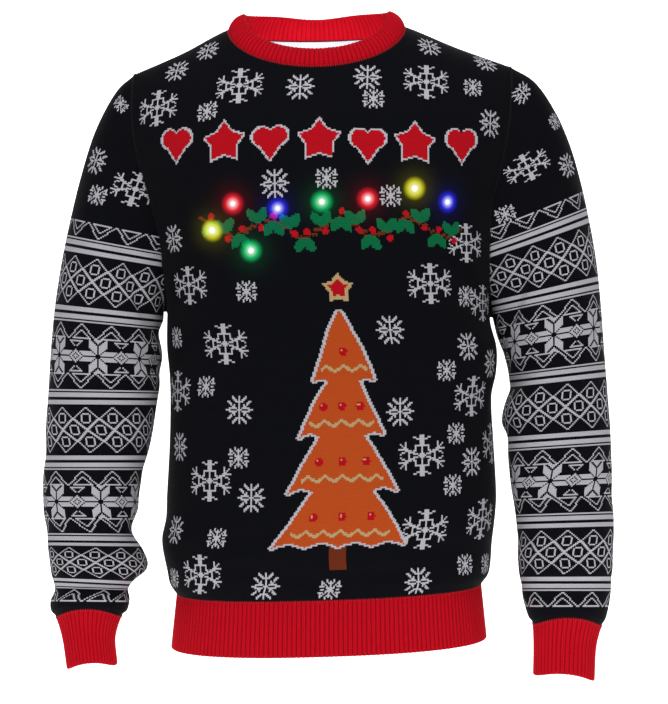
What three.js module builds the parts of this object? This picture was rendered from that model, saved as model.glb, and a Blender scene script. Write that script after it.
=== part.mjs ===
// A knitted crew-neck jumper in the form it has when worn, hollow and open at neck, hem and cuffs.
// Millimetres, +Z up. The front faces -Y, and the wearer's right arm is on -X.
// The origin lies between the shoulders, level with the points where the shoulder seams meet the neck.

import * as THREE from 'three';

// Cloth, seams and ribs
const WALL = 2.5;
const SEAM = 0.3;
const RIB_WALL = 3;
const RIB_PEAK = 0.6;
const RIB_VALLEY = -0.4;
const RIBS = { collar: 112, hem: 94, cuff: 46 };

// How square the sections are, 2 is an ellipse, and how the body rounds over to the shoulder seams
const BODY_POWER = 2.4;
const SLEEVE_POWER = 2.2;
const ROUND_HEIGHT = 150;
const ROUND_POWER = 2.2;

// Armholes: the reach of the loop to the front and back, the lip that turns out under the arm,
// and the heights of the shoulder tip, underarm and hem seam on each side
const REACH = 54;
const LIP = 3;
const LIP_FADE = 45;
const SIDES = {
  right: { sign: -1, tip: -44, underarm: -301, hem: -608.5 },
  left: { sign: 1, tip: -36, underarm: -307, hem: -597.5 },
};

// How steeply the sleeve falls away from the armhole at its top, and how far down that fades
const FALL = { slope: 0.9, low: -0.2, span: 1.2 };

// The armhole never cuts deeper into the section than this share of its depth
const CUT = { most: 0.9, below: 2 };

// Neckline: its points on the shoulders and how far it drops at front and back
const NECK = { right: -100.8, left: 89.4, frontDrop: 47.2, backDrop: 6.8 };

// Collar: its height, how much taller it is at the front than at the sides, how it leans in by degrees
// round the neck, how far it bulges halfway up, how much it rises at the back corners, and its middle
const COLLAR = {
  height: 23.2, taller: 1.3, mean: 36.75, turn: 7.5, double: -8.25, bulge: 3.4, lift: 4, middle: -12,
};

// Hem rib: its height and how far it stands out at the bottom, and the band of knit that blouses over it
const HEM = { height: 57.5, flare: 6, blouse: 11 };

// Tape inside the back neck: its wall, and how far it reaches into the rows of the panel's grid
const TAPE = { wall: 1, low: 0.4, high: 0.85 };

// Grid sizes
const GRID = { neck: 14, shoulder: 4, below: 10, armhole: 10, rings: 36 };

// Folds of the body die out near its edges: a share of the width, and heights over hem and under shoulder
const CALM = { edge: 0.12, hem: -612, above: 20, shoulder: 60 };

// The body by height: its edges seen from the front and its depths.
// Above the underarms the edges are the armhole seams.
const BODY = [
  { z: -612, right: -155.5, left: 165, front: 111, back: 102 },
  { z: -598, right: -165.5, left: 173, front: 117, back: 108 },
  { z: -585, right: -168.5, left: 182, front: 121, back: 112 },
  { z: -550, right: -174.5, left: 185.5, front: 126, back: 116 },
  { z: -525, right: -170, left: 188.5, front: 125, back: 115 },
  { z: -500, right: -169, left: 190, front: 124, back: 114 },
  { z: -445, right: -166, left: 187, front: 121, back: 110 },
  { z: -393, right: -165, left: 184.5, front: 122, back: 109 },
  { z: -367, right: -166, left: 189.5, front: 124.5, back: 110.5 },
  { z: -340, right: -168.5, left: 190, front: 127, back: 112 },
  { z: -315, right: -168.5, left: 183.5, front: 129, back: 113.5 },
  { z: -290, right: -168, left: 181, front: 131, back: 115 },
  { z: -250, right: -171, left: 180, front: 133, back: 118 },
  { z: -215, right: -175, left: 180, front: 134, back: 121 },
  { z: -188, right: -182, left: 181, front: 134, back: 122 },
  { z: -145, right: -194, left: 191, front: 131, back: 124 },
  { z: -105, right: -202, left: 199, front: 124, back: 122 },
  { z: -70, right: -204, left: 203, front: 116, back: 116 },
  { z: -36, right: -203, left: 205, front: 109, back: 109 },
  { z: 25, right: -203, left: 205, front: 104, back: 104 },
];

// The line of the shoulder seams, carried on over the open neck
const SHOULDER = [
  { x: -206, z: -45.3 },
  { x: -150, z: -21 },
  { x: -100.8, z: 4.4 },
  { x: -50, z: 18 },
  { x: -5, z: 22 },
  { x: 40, z: 19.5 },
  { x: 89.4, z: 7.6 },
  { x: 145, z: -15 },
  { x: 208, z: -37.2 },
];

// Each sleeve by station: its outer and inner edges seen from the front.
// Station 0 is the armhole, 15 the pinch over the wrist, 18 the seam with the cuff and 20 the cuff's end.
const SLEEVES = {
  right: [
    { at: 0, outX: -203, outZ: -44, inX: -171.5, inZ: -300 },
    { at: 1, outX: -223.5, outZ: -63, inX: -172.5, inZ: -301.8 },
    { at: 2, outX: -245.5, outZ: -104, inX: -172.8, inZ: -305.2 },
    { at: 3, outX: -261, outZ: -152, inX: -173.4, inZ: -311.7 },
    { at: 4, outX: -273, outZ: -200, inX: -176.2, inZ: -318.5 },
    { at: 5, outX: -283.5, outZ: -251, inX: -178, inZ: -327 },
    { at: 6, outX: -290.5, outZ: -298, inX: -174.5, inZ: -346 },
    { at: 7, outX: -294.5, outZ: -343, inX: -174.5, inZ: -369 },
    { at: 8, outX: -297, outZ: -389, inX: -179.5, inZ: -400 },
    { at: 9, outX: -300, outZ: -432, inX: -184.5, inZ: -434 },
    { at: 10, outX: -302, outZ: -477, inX: -192, inZ: -472 },
    { at: 11, outX: -301, outZ: -515, inX: -198, inZ: -511 },
    { at: 12, outX: -297, outZ: -543, inX: -206, inZ: -537 },
    { at: 13, outX: -295, outZ: -560, inX: -193, inZ: -559 },
    { at: 14, outX: -292, outZ: -581, inX: -189, inZ: -578 },
    { at: 15, outX: -288, outZ: -598, inX: -208, inZ: -598 },
    { at: 16, outX: -292.5, outZ: -611, inX: -207.5, inZ: -611 },
    { at: 17, outX: -291.5, outZ: -622, inX: -210, inZ: -622 },
    { at: 18, outX: -286, outZ: -629, inX: -216, inZ: -628 },
    { at: 19, outX: -279, outZ: -651, inX: -223, inZ: -651 },
    { at: 20, outX: -274, outZ: -683, inX: -221, inZ: -679 },
  ],
  left: [
    { at: 0, outX: 205, outZ: -36, inX: 185, inZ: -306.8 },
    { at: 1, outX: 231.5, outZ: -52.5, inX: 186.4, inZ: -309 },
    { at: 2, outX: 253.5, outZ: -84.5, inX: 187.5, inZ: -313.9 },
    { at: 3, outX: 269.5, outZ: -121, inX: 189.1, inZ: -320.5 },
    { at: 4, outX: 281, outZ: -160, inX: 191, inZ: -328 },
    { at: 5, outX: 289.5, outZ: -198, inX: 194.5, inZ: -338 },
    { at: 6, outX: 297, outZ: -239, inX: 199, inZ: -351 },
    { at: 7, outX: 302, outZ: -284, inX: 203.5, inZ: -371 },
    { at: 8, outX: 306, outZ: -339, inX: 200.5, inZ: -395 },
    { at: 9, outX: 310, outZ: -393, inX: 195, inZ: -423 },
    { at: 10, outX: 313, outZ: -440, inX: 200.5, inZ: -449 },
    { at: 11, outX: 314, outZ: -480, inX: 204, inZ: -485 },
    { at: 12, outX: 315, outZ: -515, inX: 209, inZ: -517 },
    { at: 13, outX: 315, outZ: -541, inX: 211, inZ: -542 },
    { at: 14, outX: 314, outZ: -573, inX: 212, inZ: -573 },
    { at: 15, outX: 311.5, outZ: -602, inX: 215.5, inZ: -602 },
    { at: 16, outX: 309, outZ: -618, inX: 219, inZ: -618 },
    { at: 17, outX: 305.5, outZ: -631, inX: 223, inZ: -630 },
    { at: 18, outX: 301, outZ: -639, inX: 227.5, inZ: -637 },
    { at: 19, outX: 295, outZ: -661, inX: 228.5, inZ: -661 },
    { at: 20, outX: 293, outZ: -696, inX: 228, inZ: -690 },
  ],
};
const CUFF_AT = 18;
const CUFF_STATIONS = [18, 19, 20];

// Depth of both sleeves by station: half of it, how far forward the arm hangs,
// and how much higher the ring stands at its front and back than at its sides
const ARM = [
  { at: 0, half: 54, forward: 0, arch: 0 },
  { at: 2, half: 62, forward: 0, arch: 0 },
  { at: 4, half: 69, forward: 0, arch: 0 },
  { at: 6, half: 72, forward: 2, arch: 0 },
  { at: 8, half: 66, forward: 10, arch: 0 },
  { at: 10, half: 58, forward: 21, arch: 0 },
  { at: 12, half: 52, forward: 32, arch: 0 },
  { at: 13, half: 54, forward: 35, arch: 0 },
  { at: 14, half: 52, forward: 38, arch: 1 },
  { at: 15, half: 44, forward: 41, arch: 4 },
  { at: 16, half: 45, forward: 43, arch: 8 },
  { at: 17, half: 43.5, forward: 44, arch: 11 },
  { at: 18, half: 39, forward: 45, arch: 12 },
  { at: 19, half: 33, forward: 48, arch: 10 },
  { at: 20, half: 34, forward: 50, arch: 8 },
];
const ARMHOLE_FADE = 3;

// Folds of the sleeves die out over these stations next to the armhole and the cuff
const SLEEVE_CALM = { from: 1, over: 2, cuff: 1 };

// Folds of the body, troughs below zero: place, turn from level, length, width and depth
const BODY_FOLDS = {
  front: [
    { x: -135, z: -262, turn: 50, length: 60, width: 13, depth: -7 },
    { x: -118, z: -330, turn: 24, length: 55, width: 15, depth: -6 },
    { x: 140, z: -255, turn: 128, length: 55, width: 13, depth: -6 },
    { x: 132, z: -335, turn: 158, length: 60, width: 15, depth: -6 },
    { x: -95, z: -545, turn: 12, length: 62, width: 12, depth: -6 },
    { x: -60, z: -575, turn: -6, length: 70, width: 9, depth: -4 },
    { x: 108, z: -548, turn: 170, length: 62, width: 13, depth: -6 },
    { x: 70, z: -573, turn: 5, length: 60, width: 9, depth: -4 },
    { x: -75, z: -430, turn: 82, length: 95, width: 22, depth: -5 },
    { x: 85, z: -440, turn: 96, length: 100, width: 24, depth: -5 },
  ],
  back: [
    { x: -110, z: -300, turn: 40, length: 70, width: 17, depth: -7 },
    { x: 115, z: -305, turn: 140, length: 70, width: 17, depth: -7 },
    { x: 0, z: -440, turn: 3, length: 110, width: 16, depth: -7 },
    { x: -40, z: -495, turn: -9, length: 100, width: 15, depth: -6 },
    { x: 50, z: -548, turn: 8, length: 95, width: 13, depth: -5 },
    { x: 5, z: -150, turn: 90, length: 80, width: 24, depth: -5 },
  ],
};

// Folds of the sleeves: station, angle round from the outer edge over the front, slant, sizes
const SLEEVE_FOLDS = {
  right: [
    { at: 3.4, round: 118, turn: -38, length: 60, width: 14, depth: -6 },
    { at: 6.6, round: 150, turn: -16, length: 52, width: 14, depth: -6 },
    { at: 9.2, round: 60, turn: 12, length: 60, width: 14, depth: -5 },
    { at: 10.4, round: 128, turn: -10, length: 58, width: 13, depth: -6 },
    { at: 12.1, round: 90, turn: -8, length: 62, width: 10, depth: -5 },
    { at: 9.8, round: 250, turn: 8, length: 70, width: 15, depth: -6 },
    { at: 14.9, round: 110, turn: 6, length: 60, width: 7, depth: -4 },
  ],
  left: [
    { at: 3.6, round: 122, turn: -36, length: 60, width: 14, depth: -6 },
    { at: 7.4, round: 152, turn: -14, length: 56, width: 14, depth: -6 },
    { at: 9.1, round: 120, turn: -8, length: 62, width: 13, depth: -6 },
    { at: 11.2, round: 80, turn: 10, length: 60, width: 13, depth: -5 },
    { at: 13.4, round: 100, turn: 5, length: 60, width: 11, depth: -5 },
    { at: 9.9, round: 246, turn: -8, length: 70, width: 15, depth: -6 },
    { at: 14.6, round: 96, turn: -4, length: 60, width: 7, depth: -4 },
  ],
};

// Small lamps that stand out of the knit on the chest, left to right as seen from the front
const LAMP = { radius: 3.2, height: 4.2, from: 400, around: 10, up: 3 };
const LAMPS = [
  { name: 'led_1', x: -115, z: -214, color: 0xffd94a },
  { name: 'led_2', x: -93, z: -186, color: 0xff3a2c },
  { name: 'led_3', x: -74, z: -235, color: 0x3dff78 },
  { name: 'led_4', x: -46, z: -191, color: 0x3f66ff },
  { name: 'led_5', x: 0, z: -184, color: 0x3dff78 },
  { name: 'led_6', x: 48, z: -181, color: 0xff3a2c },
  { name: 'led_7', x: 97, z: -170, color: 0xffd94a },
  { name: 'led_8', x: 132, z: -184, color: 0x3f66ff },
];

const KNIT = { color: 0x101116, roughness: 0.95, metalness: 0 };
const RED_RIB = { color: 0xbe0c1c, roughness: 0.9, metalness: 0 };
const WHITE_TAPE = { color: 0xe1dceb, roughness: 0.9, metalness: 0 };

// Small helpers
const radians = (degrees) => (degrees * Math.PI) / 180;
const mix = (a, b, t) => a + (b - a) * t;
const clamp = (value, low, high) => Math.min(Math.max(value, low), high);
const smooth = (value) => {
  const t = clamp(value, 0, 1);
  return t * t * (3 - 2 * t);
};
const vec = (x, y, z) => new THREE.Vector3(x, y, z);
const moved = (point, direction, distance) => point.clone().addScaledVector(direction, distance);

// A smooth curve through one column of a table, held level past both ends
function curve(rows, key, at, column) {
  const last = rows.length - 1;
  if (at <= rows[0][key]) return rows[0][column];
  if (at >= rows[last][key]) return rows[last][column];
  let i = 0;
  while (at > rows[i + 1][key]) i += 1;
  const slope = (j) => {
    const before = rows[Math.max(j - 1, 0)];
    const after = rows[Math.min(j + 1, last)];
    return (after[column] - before[column]) / (after[key] - before[key]);
  };
  const span = rows[i + 1][key] - rows[i][key];
  const t = (at - rows[i][key]) / span;
  const rise = rows[i + 1][column] - rows[i][column];
  const start = slope(i) * span;
  const end = slope(i + 1) * span;
  return rows[i][column] + t * (start + t * (3 * rise - 2 * start - end + t * (start + end - 2 * rise)));
}

// The body's outer surface

const shoulderHeight = (x) => curve(SHOULDER, 'x', x, 'z');

const armholeAngle = (side, z) => {
  const half = (side.tip - side.underarm) / 2;
  return Math.acos(clamp((side.underarm + half - z) / half, -1, 1));
};

const lip = (side, z) => {
  if (z >= side.underarm) return LIP * (1 - smooth((z - side.underarm) / LIP_FADE));
  const below = Math.max(z - side.underarm + LIP, 0);
  return LIP - Math.sqrt(LIP * LIP - below * below);
};

const edge = (name, z) => curve(BODY, 'z', z, name) + SIDES[name].sign * lip(SIDES[name], z);

const rounding = (x, z) => {
  const below = clamp((shoulderHeight(x) - z) / ROUND_HEIGHT, 0, 1);
  return (1 - (1 - below) ** ROUND_POWER) ** (1 / ROUND_POWER);
};

// How far across its section the body has turned where the armhole cuts it
function cutShare(name, face, z) {
  const side = SIDES[name];
  if (z <= side.underarm) return 1;
  const level = Math.min(z, side.tip - CUT.below);
  const reach = REACH * Math.sin(armholeAngle(side, level));
  const depth = curve(BODY, 'z', level, face) * rounding(edge(name, level), level);
  const share = Math.min(reach / depth, CUT.most);
  return (1 - share ** BODY_POWER) ** (1 / BODY_POWER);
}

function foldDepth(folds, x, z) {
  return folds.reduce((sum, fold) => {
    const turn = radians(fold.turn);
    const dx = x - fold.x;
    const dz = z - fold.z;
    const along = (dx * Math.cos(turn) + dz * Math.sin(turn)) / fold.length;
    const across = (dz * Math.cos(turn) - dx * Math.sin(turn)) / fold.width;
    return sum + fold.depth * Math.exp(-along * along - across * across);
  }, 0);
}

// A point of the front or back, from its place across, -1 to 1 between the edges, and its height
function bodyPoint(face, across, z) {
  const right = curve(BODY, 'z', z, 'right');
  const left = curve(BODY, 'z', z, 'left');
  const name = across < 0 ? 'right' : 'left';
  const x = mix(right, left, (across + 1) / 2);
  const turned = Math.abs(across) * cutShare(name, face, z);
  const section = Math.max(1 - turned ** BODY_POWER, 0) ** (1 / BODY_POWER);
  const below = smooth((shoulderHeight(x) - z) / CALM.shoulder);
  const calm = smooth((1 - Math.abs(across)) / CALM.edge) * smooth((z - CALM.hem) / CALM.above) * below;
  const fold = foldDepth(BODY_FOLDS[face], x, z) * calm;
  const depth = curve(BODY, 'z', z, face) * section * rounding(x, z) + fold;
  return vec(x, face === 'front' ? -depth : depth, z);
}

// The armhole loop: angle 0 is the shoulder tip, 90 degrees the front, 180 the underarm
function armholePoint(name, angle) {
  const side = SIDES[name];
  const z = mix(side.underarm, side.tip, (1 + Math.cos(angle)) / 2);
  return vec(edge(name, z), -REACH * Math.sin(angle), z);
}

// Along the armhole: the way round, the way out of the cloth and the way over the seam to the sleeve
function armholeFrame(name, angle) {
  const step = 0.01;
  const side = SIDES[name];
  const round = armholePoint(name, angle + step).sub(armholePoint(name, angle - step)).normalize();
  const fall = FALL.slope * smooth((Math.cos(angle) - FALL.low) / FALL.span);
  const over = vec(side.sign, 0, -fall);
  const out = over.clone().cross(round).multiplyScalar(-side.sign).normalize();
  const toSleeve = round.clone().cross(out).multiplyScalar(-side.sign).normalize();
  return { out, toSleeve };
}

// Rows of the body grid, as shares of the way from hem seam to shoulder tip on each side
function bodyRows() {
  const shares = { right: [], left: [] };
  Object.entries(SIDES).forEach(([name, side]) => {
    const share = (z) => (z - side.hem) / (side.tip - side.hem);
    shares[name].push(0);
    for (let j = 0; j < GRID.below; j += 1) {
      shares[name].push(share(mix(side.hem + HEM.blouse, side.underarm - 3 * LIP, j / (GRID.below - 1))));
    }
    shares[name].push(share(side.underarm - LIP));
    shares[name].push(share(side.underarm - 0.2 * LIP));
    for (let k = 0; k <= GRID.armhole; k += 1) {
      shares[name].push(share(armholePoint(name, Math.PI * (1 - k / GRID.armhole)).z));
    }
  });
  return shares;
}
const UNDERARM_ROW = GRID.below + 3;

// Columns of the body grid at the top: shoulder, neck, shoulder
function bodyColumns() {
  const xs = [];
  const neckMiddle = (NECK.right + NECK.left) / 2;
  const neckHalf = (NECK.left - NECK.right) / 2;
  for (let i = 0; i < GRID.shoulder; i += 1) {
    xs.push(mix(edge('right', SIDES.right.tip), NECK.right, i / GRID.shoulder));
  }
  for (let i = 0; i <= GRID.neck; i += 1) {
    xs.push(neckMiddle - neckHalf * Math.cos((Math.PI * i) / GRID.neck));
  }
  for (let i = 1; i <= GRID.shoulder; i += 1) {
    xs.push(mix(NECK.left, edge('left', SIDES.left.tip), i / GRID.shoulder));
  }
  return xs;
}

function topHeight(face, x) {
  if (x <= NECK.right || x >= NECK.left) return shoulderHeight(x);
  const half = (NECK.left - NECK.right) / 2;
  const share = (x - NECK.right - half) / half;
  const level = mix(shoulderHeight(NECK.right), shoulderHeight(NECK.left), (share + 1) / 2);
  const drop = face === 'front' ? NECK.frontDrop : NECK.backDrop;
  return level - drop * Math.sqrt(1 - share * share);
}

// Grid of outer points, rows from hem to shoulders, with the way out of the cloth at each
function bodyGrid(face) {
  const shares = bodyRows();
  const tops = bodyColumns();
  const lastRow = shares.right.length - 1;
  const lastColumn = tops.length - 1;
  const sign = face === 'front' ? -1 : 1;
  const points = [];
  for (let j = 0; j <= lastRow; j += 1) {
    const row = [];
    for (let i = 0; i <= lastColumn; i += 1) {
      const low = Math.sin((Math.PI / 2) * ((2 * i) / lastColumn - 1));
      const top = topHeight(face, tops[i]);
      const middle = (edge('right', top) + edge('left', top)) / 2;
      const high = clamp((tops[i] - middle) / (edge('left', top) - middle), -1, 1);
      const rise = (shares.right[j] - shares.right[UNDERARM_ROW]) / (1 - shares.right[UNDERARM_ROW]);
      const across = mix(low, high, clamp(rise, 0, 1));
      const part = (across + 1) / 2;
      const share = mix(shares.right[j], shares.left[j], part);
      const z = mix(mix(SIDES.right.hem, SIDES.left.hem, part), top, share);
      const name = i === 0 ? 'right' : 'left';
      if (i > 0 && i < lastColumn) {
        const point = bodyPoint(face, across, z);
        if (j === lastRow) point.x = tops[i];
        row.push(point);
      } else if (j < UNDERARM_ROW) {
        row.push(vec(edge(name, z), 0, z));
      } else {
        const angle = Math.PI * (1 - (j - UNDERARM_ROW) / GRID.armhole);
        const point = armholePoint(name, angle);
        if (face === 'back') point.y = -point.y;
        row.push(point);
      }
    }
    points.push(row);
  }
  const outs = gridOuts(points, false, sign < 0 ? 1 : -1);
  for (let j = 0; j <= lastRow; j += 1) {
    ['right', 'left'].forEach((name) => {
      const i = name === 'right' ? 0 : lastColumn;
      if (j < UNDERARM_ROW) {
        const z = points[j][i].z;
        const dx = (edge(name, z + 0.1) - edge(name, z - 0.1)) / 0.2;
        outs[j][i] = vec(1, 0, -dx).multiplyScalar(SIDES[name].sign).normalize();
      } else {
        const angle = Math.PI * (1 - (j - UNDERARM_ROW) / GRID.armhole);
        outs[j][i] = armholeFrame(name, angle).out;
        if (face === 'back') outs[j][i].y = -outs[j][i].y;
      }
    });
  }
  for (let i = 1; i < lastColumn; i += 1) {
    outs[0][i].setZ(0).normalize();
    if (i <= GRID.shoulder || i >= lastColumn - GRID.shoulder) {
      const x = points[lastRow][i].x;
      const slope = (shoulderHeight(x + 1) - shoulderHeight(x - 1)) / 2;
      outs[lastRow][i] = vec(-slope, 0, 1).normalize();
    }
  }
  return { points, outs, lastRow, lastColumn, sign };
}

// The way out of the cloth at each point of a grid, from its neighbours
function gridOuts(points, closed, sign) {
  return points.map((row, j) => row.map((point, i) => {
    const count = row.length;
    const before = closed ? (i + count - 1) % count : Math.max(i - 1, 0);
    const after = closed ? (i + 1) % count : Math.min(i + 1, count - 1);
    const across = row[after].clone().sub(row[before]);
    const upper = points[Math.min(j + 1, points.length - 1)][i];
    const lower = points[Math.max(j - 1, 0)][i];
    return across.cross(upper.clone().sub(lower)).multiplyScalar(sign).normalize();
  }));
}

// Half of a seam's gap is taken from each piece that meets there
function seamedBody(grid, face) {
  const { points, outs, lastRow, lastColumn, sign } = grid;
  const half = SEAM / 2;
  const set = points.map((row) => row.map((point) => point.clone()));
  for (let j = 0; j <= lastRow; j += 1) {
    ['right', 'left'].forEach((name) => {
      const i = name === 'right' ? 0 : lastColumn;
      if (j <= UNDERARM_ROW) set[j][i].y += sign * half;
      if (j >= UNDERARM_ROW) {
        const angle = Math.PI * (1 - (j - UNDERARM_ROW) / GRID.armhole);
        const over = armholeFrame(name, angle).toSleeve;
        if (face === 'back') over.y = -over.y;
        set[j][i].addScaledVector(over, -half);
      }
    });
  }
  for (let i = 0; i <= lastColumn; i += 1) {
    set[0][i].z += half;
    if (i <= GRID.shoulder || i >= lastColumn - GRID.shoulder) set[lastRow][i].y += sign * half;
    if (i >= GRID.shoulder && i <= lastColumn - GRID.shoulder) {
      set[lastRow][i].addScaledVector(neckUp(grid, i), -half);
    }
  }
  return { points: set, outs };
}

// At the neckline, the way over the seam to the collar
function neckUp(grid, i) {
  const row = grid.points[grid.lastRow];
  const from = Math.max(i - 1, GRID.shoulder);
  const to = Math.min(i + 1, grid.lastColumn - GRID.shoulder);
  const along = row[to].clone().sub(row[from]).normalize();
  const up = grid.outs[grid.lastRow][i].clone().cross(along).normalize();
  return up.z < 0 ? up.negate() : up;
}

// Sleeves

function sleevePoint(name, at, angle) {
  const rows = SLEEVES[name];
  const column = (key) => curve(rows, 'at', at, key);
  const outer = vec(column('outX'), 0, column('outZ'));
  const inner = vec(column('inX'), 0, column('inZ'));
  const power = 2 / mix(2, SLEEVE_POWER, smooth(at / ARMHOLE_FADE));
  const spread = (value) => Math.sign(value) * Math.abs(value) ** power;
  const lengthwise = (1 + spread(Math.cos(angle))) / 2;
  const point = inner.clone().lerp(outer, lengthwise);
  point.y = -curve(ARM, 'at', at, 'forward') - curve(ARM, 'at', at, 'half') * spread(Math.sin(angle));
  point.z += curve(ARM, 'at', at, 'arch') * Math.sin(angle) ** 2;
  const fade = 1 - smooth(at / ARMHOLE_FADE);
  if (fade > 0) {
    const loop = armholePoint(name, angle);
    const chord = armholePoint(name, Math.PI).lerp(armholePoint(name, 0), (1 + Math.cos(angle)) / 2);
    point.x += fade * (loop.x - chord.x);
  }
  return point;
}

function sleeveFold(name, at, angle) {
  const ring = curve(ARM, 'at', at, 'half');
  const folds = SLEEVE_FOLDS[name];
  const rows = SLEEVES[name];
  const middle = (station) => (curve(rows, 'at', station, 'outZ') + curve(rows, 'at', station, 'inZ')) / 2;
  const calm = smooth((at - SLEEVE_CALM.from) / SLEEVE_CALM.over) * smooth((CUFF_AT - at) / SLEEVE_CALM.cuff);
  return calm * folds.reduce((sum, fold) => {
    const turn = radians(fold.turn);
    const swing = Math.atan2(Math.sin(angle - radians(fold.round)), Math.cos(angle - radians(fold.round)));
    const dx = swing * ring;
    const dz = middle(at) - middle(fold.at);
    const along = (dx * Math.cos(turn) + dz * Math.sin(turn)) / fold.length;
    const across = (dz * Math.cos(turn) - dx * Math.sin(turn)) / fold.width;
    return sum + fold.depth * Math.exp(-along * along - across * across);
  }, 0);
}

function sleeveGrid(name) {
  const around = 2 * GRID.armhole;
  const sign = SIDES[name].sign;
  const points = [];
  for (let j = 0; j <= GRID.rings; j += 1) {
    const at = (CUFF_AT * j) / GRID.rings;
    const row = [];
    for (let i = 0; i < around; i += 1) {
      const angle = (2 * Math.PI * i) / around;
      row.push(j === 0 ? armholePoint(name, angle) : sleevePoint(name, at, angle));
    }
    points.push(row);
  }
  const outs = gridOuts(points, true, sign);
  points[0].forEach((point, i) => {
    outs[0][i] = armholeFrame(name, (2 * Math.PI * i) / around).out;
  });
  outs[GRID.rings].forEach((out) => out.setZ(0).normalize());
  const folded = points.map((row, j) => row.map((point, i) => {
    const at = (CUFF_AT * j) / GRID.rings;
    return moved(point, outs[j][i], sleeveFold(name, at, (2 * Math.PI * i) / around));
  }));
  return { points: folded, outs };
}

function seamedSleeve(grid, name) {
  const set = grid.points.map((row) => row.map((point) => point.clone()));
  const around = set[0].length;
  set[0].forEach((point, i) => {
    const over = armholeFrame(name, (2 * Math.PI * i) / around).toSleeve;
    point.addScaledVector(over, SEAM / 2);
  });
  set[set.length - 1].forEach((point) => point.setZ(point.z + SEAM / 2));
  return { points: set, outs: grid.outs };
}

// Closed solids from walls

class Solid {
  constructor() {
    this.positions = [];
    this.faces = [];
  }

  add(point) {
    this.positions.push(point.x, point.y, point.z);
    return this.positions.length / 3 - 1;
  }

  quad(a, b, c, d) {
    this.faces.push(a, b, c, a, c, d);
  }

  strip(from, to, closed) {
    const count = closed ? from.length : from.length - 1;
    for (let i = 0; i < count; i += 1) {
      const next = (i + 1) % from.length;
      this.quad(from[i], from[next], to[next], to[i]);
    }
  }

  volume() {
    let sum = 0;
    const corner = (face) => vec(...this.positions.slice(3 * face, 3 * face + 3));
    for (let f = 0; f < this.faces.length; f += 3) {
      const [a, b, c] = this.faces.slice(f, f + 3).map(corner);
      sum += a.dot(b.cross(c)) / 6;
    }
    return sum;
  }

  mesh(name, look) {
    if (this.volume() < 0) this.faces.reverse();
    const geometry = new THREE.BufferGeometry();
    geometry.setAttribute('position', new THREE.Float32BufferAttribute(this.positions, 3));
    geometry.setIndex(this.faces);
    geometry.computeVertexNormals();
    const mesh = new THREE.Mesh(geometry, new THREE.MeshStandardMaterial(look));
    mesh.name = name;
    return mesh;
  }
}

// A plain wall: the outer points and, one thickness behind them, the inner ones
function wall(name, look, { points, outs }, thickness, closed) {
  const solid = new Solid();
  const outer = points.map((row) => row.map((point) => solid.add(point)));
  const inner = points.map((row, j) => row.map((point, i) => solid.add(moved(point, outs[j][i], -thickness))));
  const last = points.length - 1;
  for (let j = 0; j < last; j += 1) {
    solid.strip(outer[j], outer[j + 1], closed);
    solid.strip(inner[j + 1], inner[j], closed);
  }
  solid.strip(inner[0], outer[0], closed);
  solid.strip(outer[last], inner[last], closed);
  if (!closed) {
    const end = points[0].length - 1;
    solid.strip(outer.map((row) => row[0]), inner.map((row) => row[0]), false);
    solid.strip(inner.map((row) => row[end]), outer.map((row) => row[end]), false);
  }
  return solid.mesh(name, look);
}

// Places evenly spaced along a chain of points
function spaced(chain, count, closed) {
  const links = closed ? chain.length : chain.length - 1;
  const lengths = [0];
  for (let i = 0; i < links; i += 1) {
    lengths.push(lengths[i] + chain[i].distanceTo(chain[(i + 1) % chain.length]));
  }
  const places = [];
  let i = 0;
  for (let k = 0; k < (closed ? count : count + 1); k += 1) {
    const target = (lengths[links] * k) / count;
    while (i < links - 1 && target > lengths[i + 1]) i += 1;
    places.push({ link: i, share: clamp((target - lengths[i]) / (lengths[i + 1] - lengths[i]), 0, 1) });
  }
  return places;
}

const onChain = (chain, place) => {
  const next = chain[(place.link + 1) % chain.length];
  return chain[place.link].clone().lerp(next, place.share);
};

// A ribbed wall: two outer points a rib, crest and furrow, over a plain inside
function ribbed(name, look, rows, ribs, closed) {
  const solid = new Solid();
  const places = spaced(rows[0].points, 2 * ribs, closed);
  const outer = [];
  const inner = [];
  rows.forEach((row) => {
    outer.push(places.map((place, k) => {
      const raise = k % 2 === 0 ? RIB_VALLEY : RIB_PEAK;
      return solid.add(moved(onChain(row.points, place), onChain(row.outs, place).normalize(), raise));
    }));
    inner.push(places.filter((place, k) => k % 2 === 0).map((place) => (
      solid.add(moved(onChain(row.points, place), onChain(row.outs, place).normalize(), -RIB_WALL))
    )));
  });
  const last = rows.length - 1;
  for (let j = 0; j < last; j += 1) {
    solid.strip(outer[j], outer[j + 1], closed);
    solid.strip(inner[j + 1], inner[j], closed);
  }
  const cap = (outerRow, innerRow, flip) => {
    for (let k = 0; k < ribs; k += 1) {
      const a = outerRow[2 * k];
      const b = outerRow[2 * k + 1];
      const c = outerRow[(2 * k + 2) % outerRow.length];
      const p = innerRow[k];
      const q = innerRow[(k + 1) % innerRow.length];
      if (flip) solid.faces.push(a, b, p, b, q, p, b, c, q);
      else solid.faces.push(a, p, b, b, p, q, b, q, c);
    }
  };
  cap(outer[0], inner[0], false);
  cap(outer[last], inner[last], true);
  if (!closed) {
    const end = ribs;
    solid.strip(outer.map((row) => row[0]), inner.map((row) => row[0]), false);
    solid.strip(inner.map((row) => row[end]), outer.map((row) => row[2 * end]), false);
  }
  return solid.mesh(name, look);
}

// At a corner of a seam, the one way that moves as far from both of its edges
const mitre = (a, b) => a.clone().add(b).divideScalar(1 + a.dot(b));

// Collar: one tube of rib, from the neckline up and inward

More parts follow.
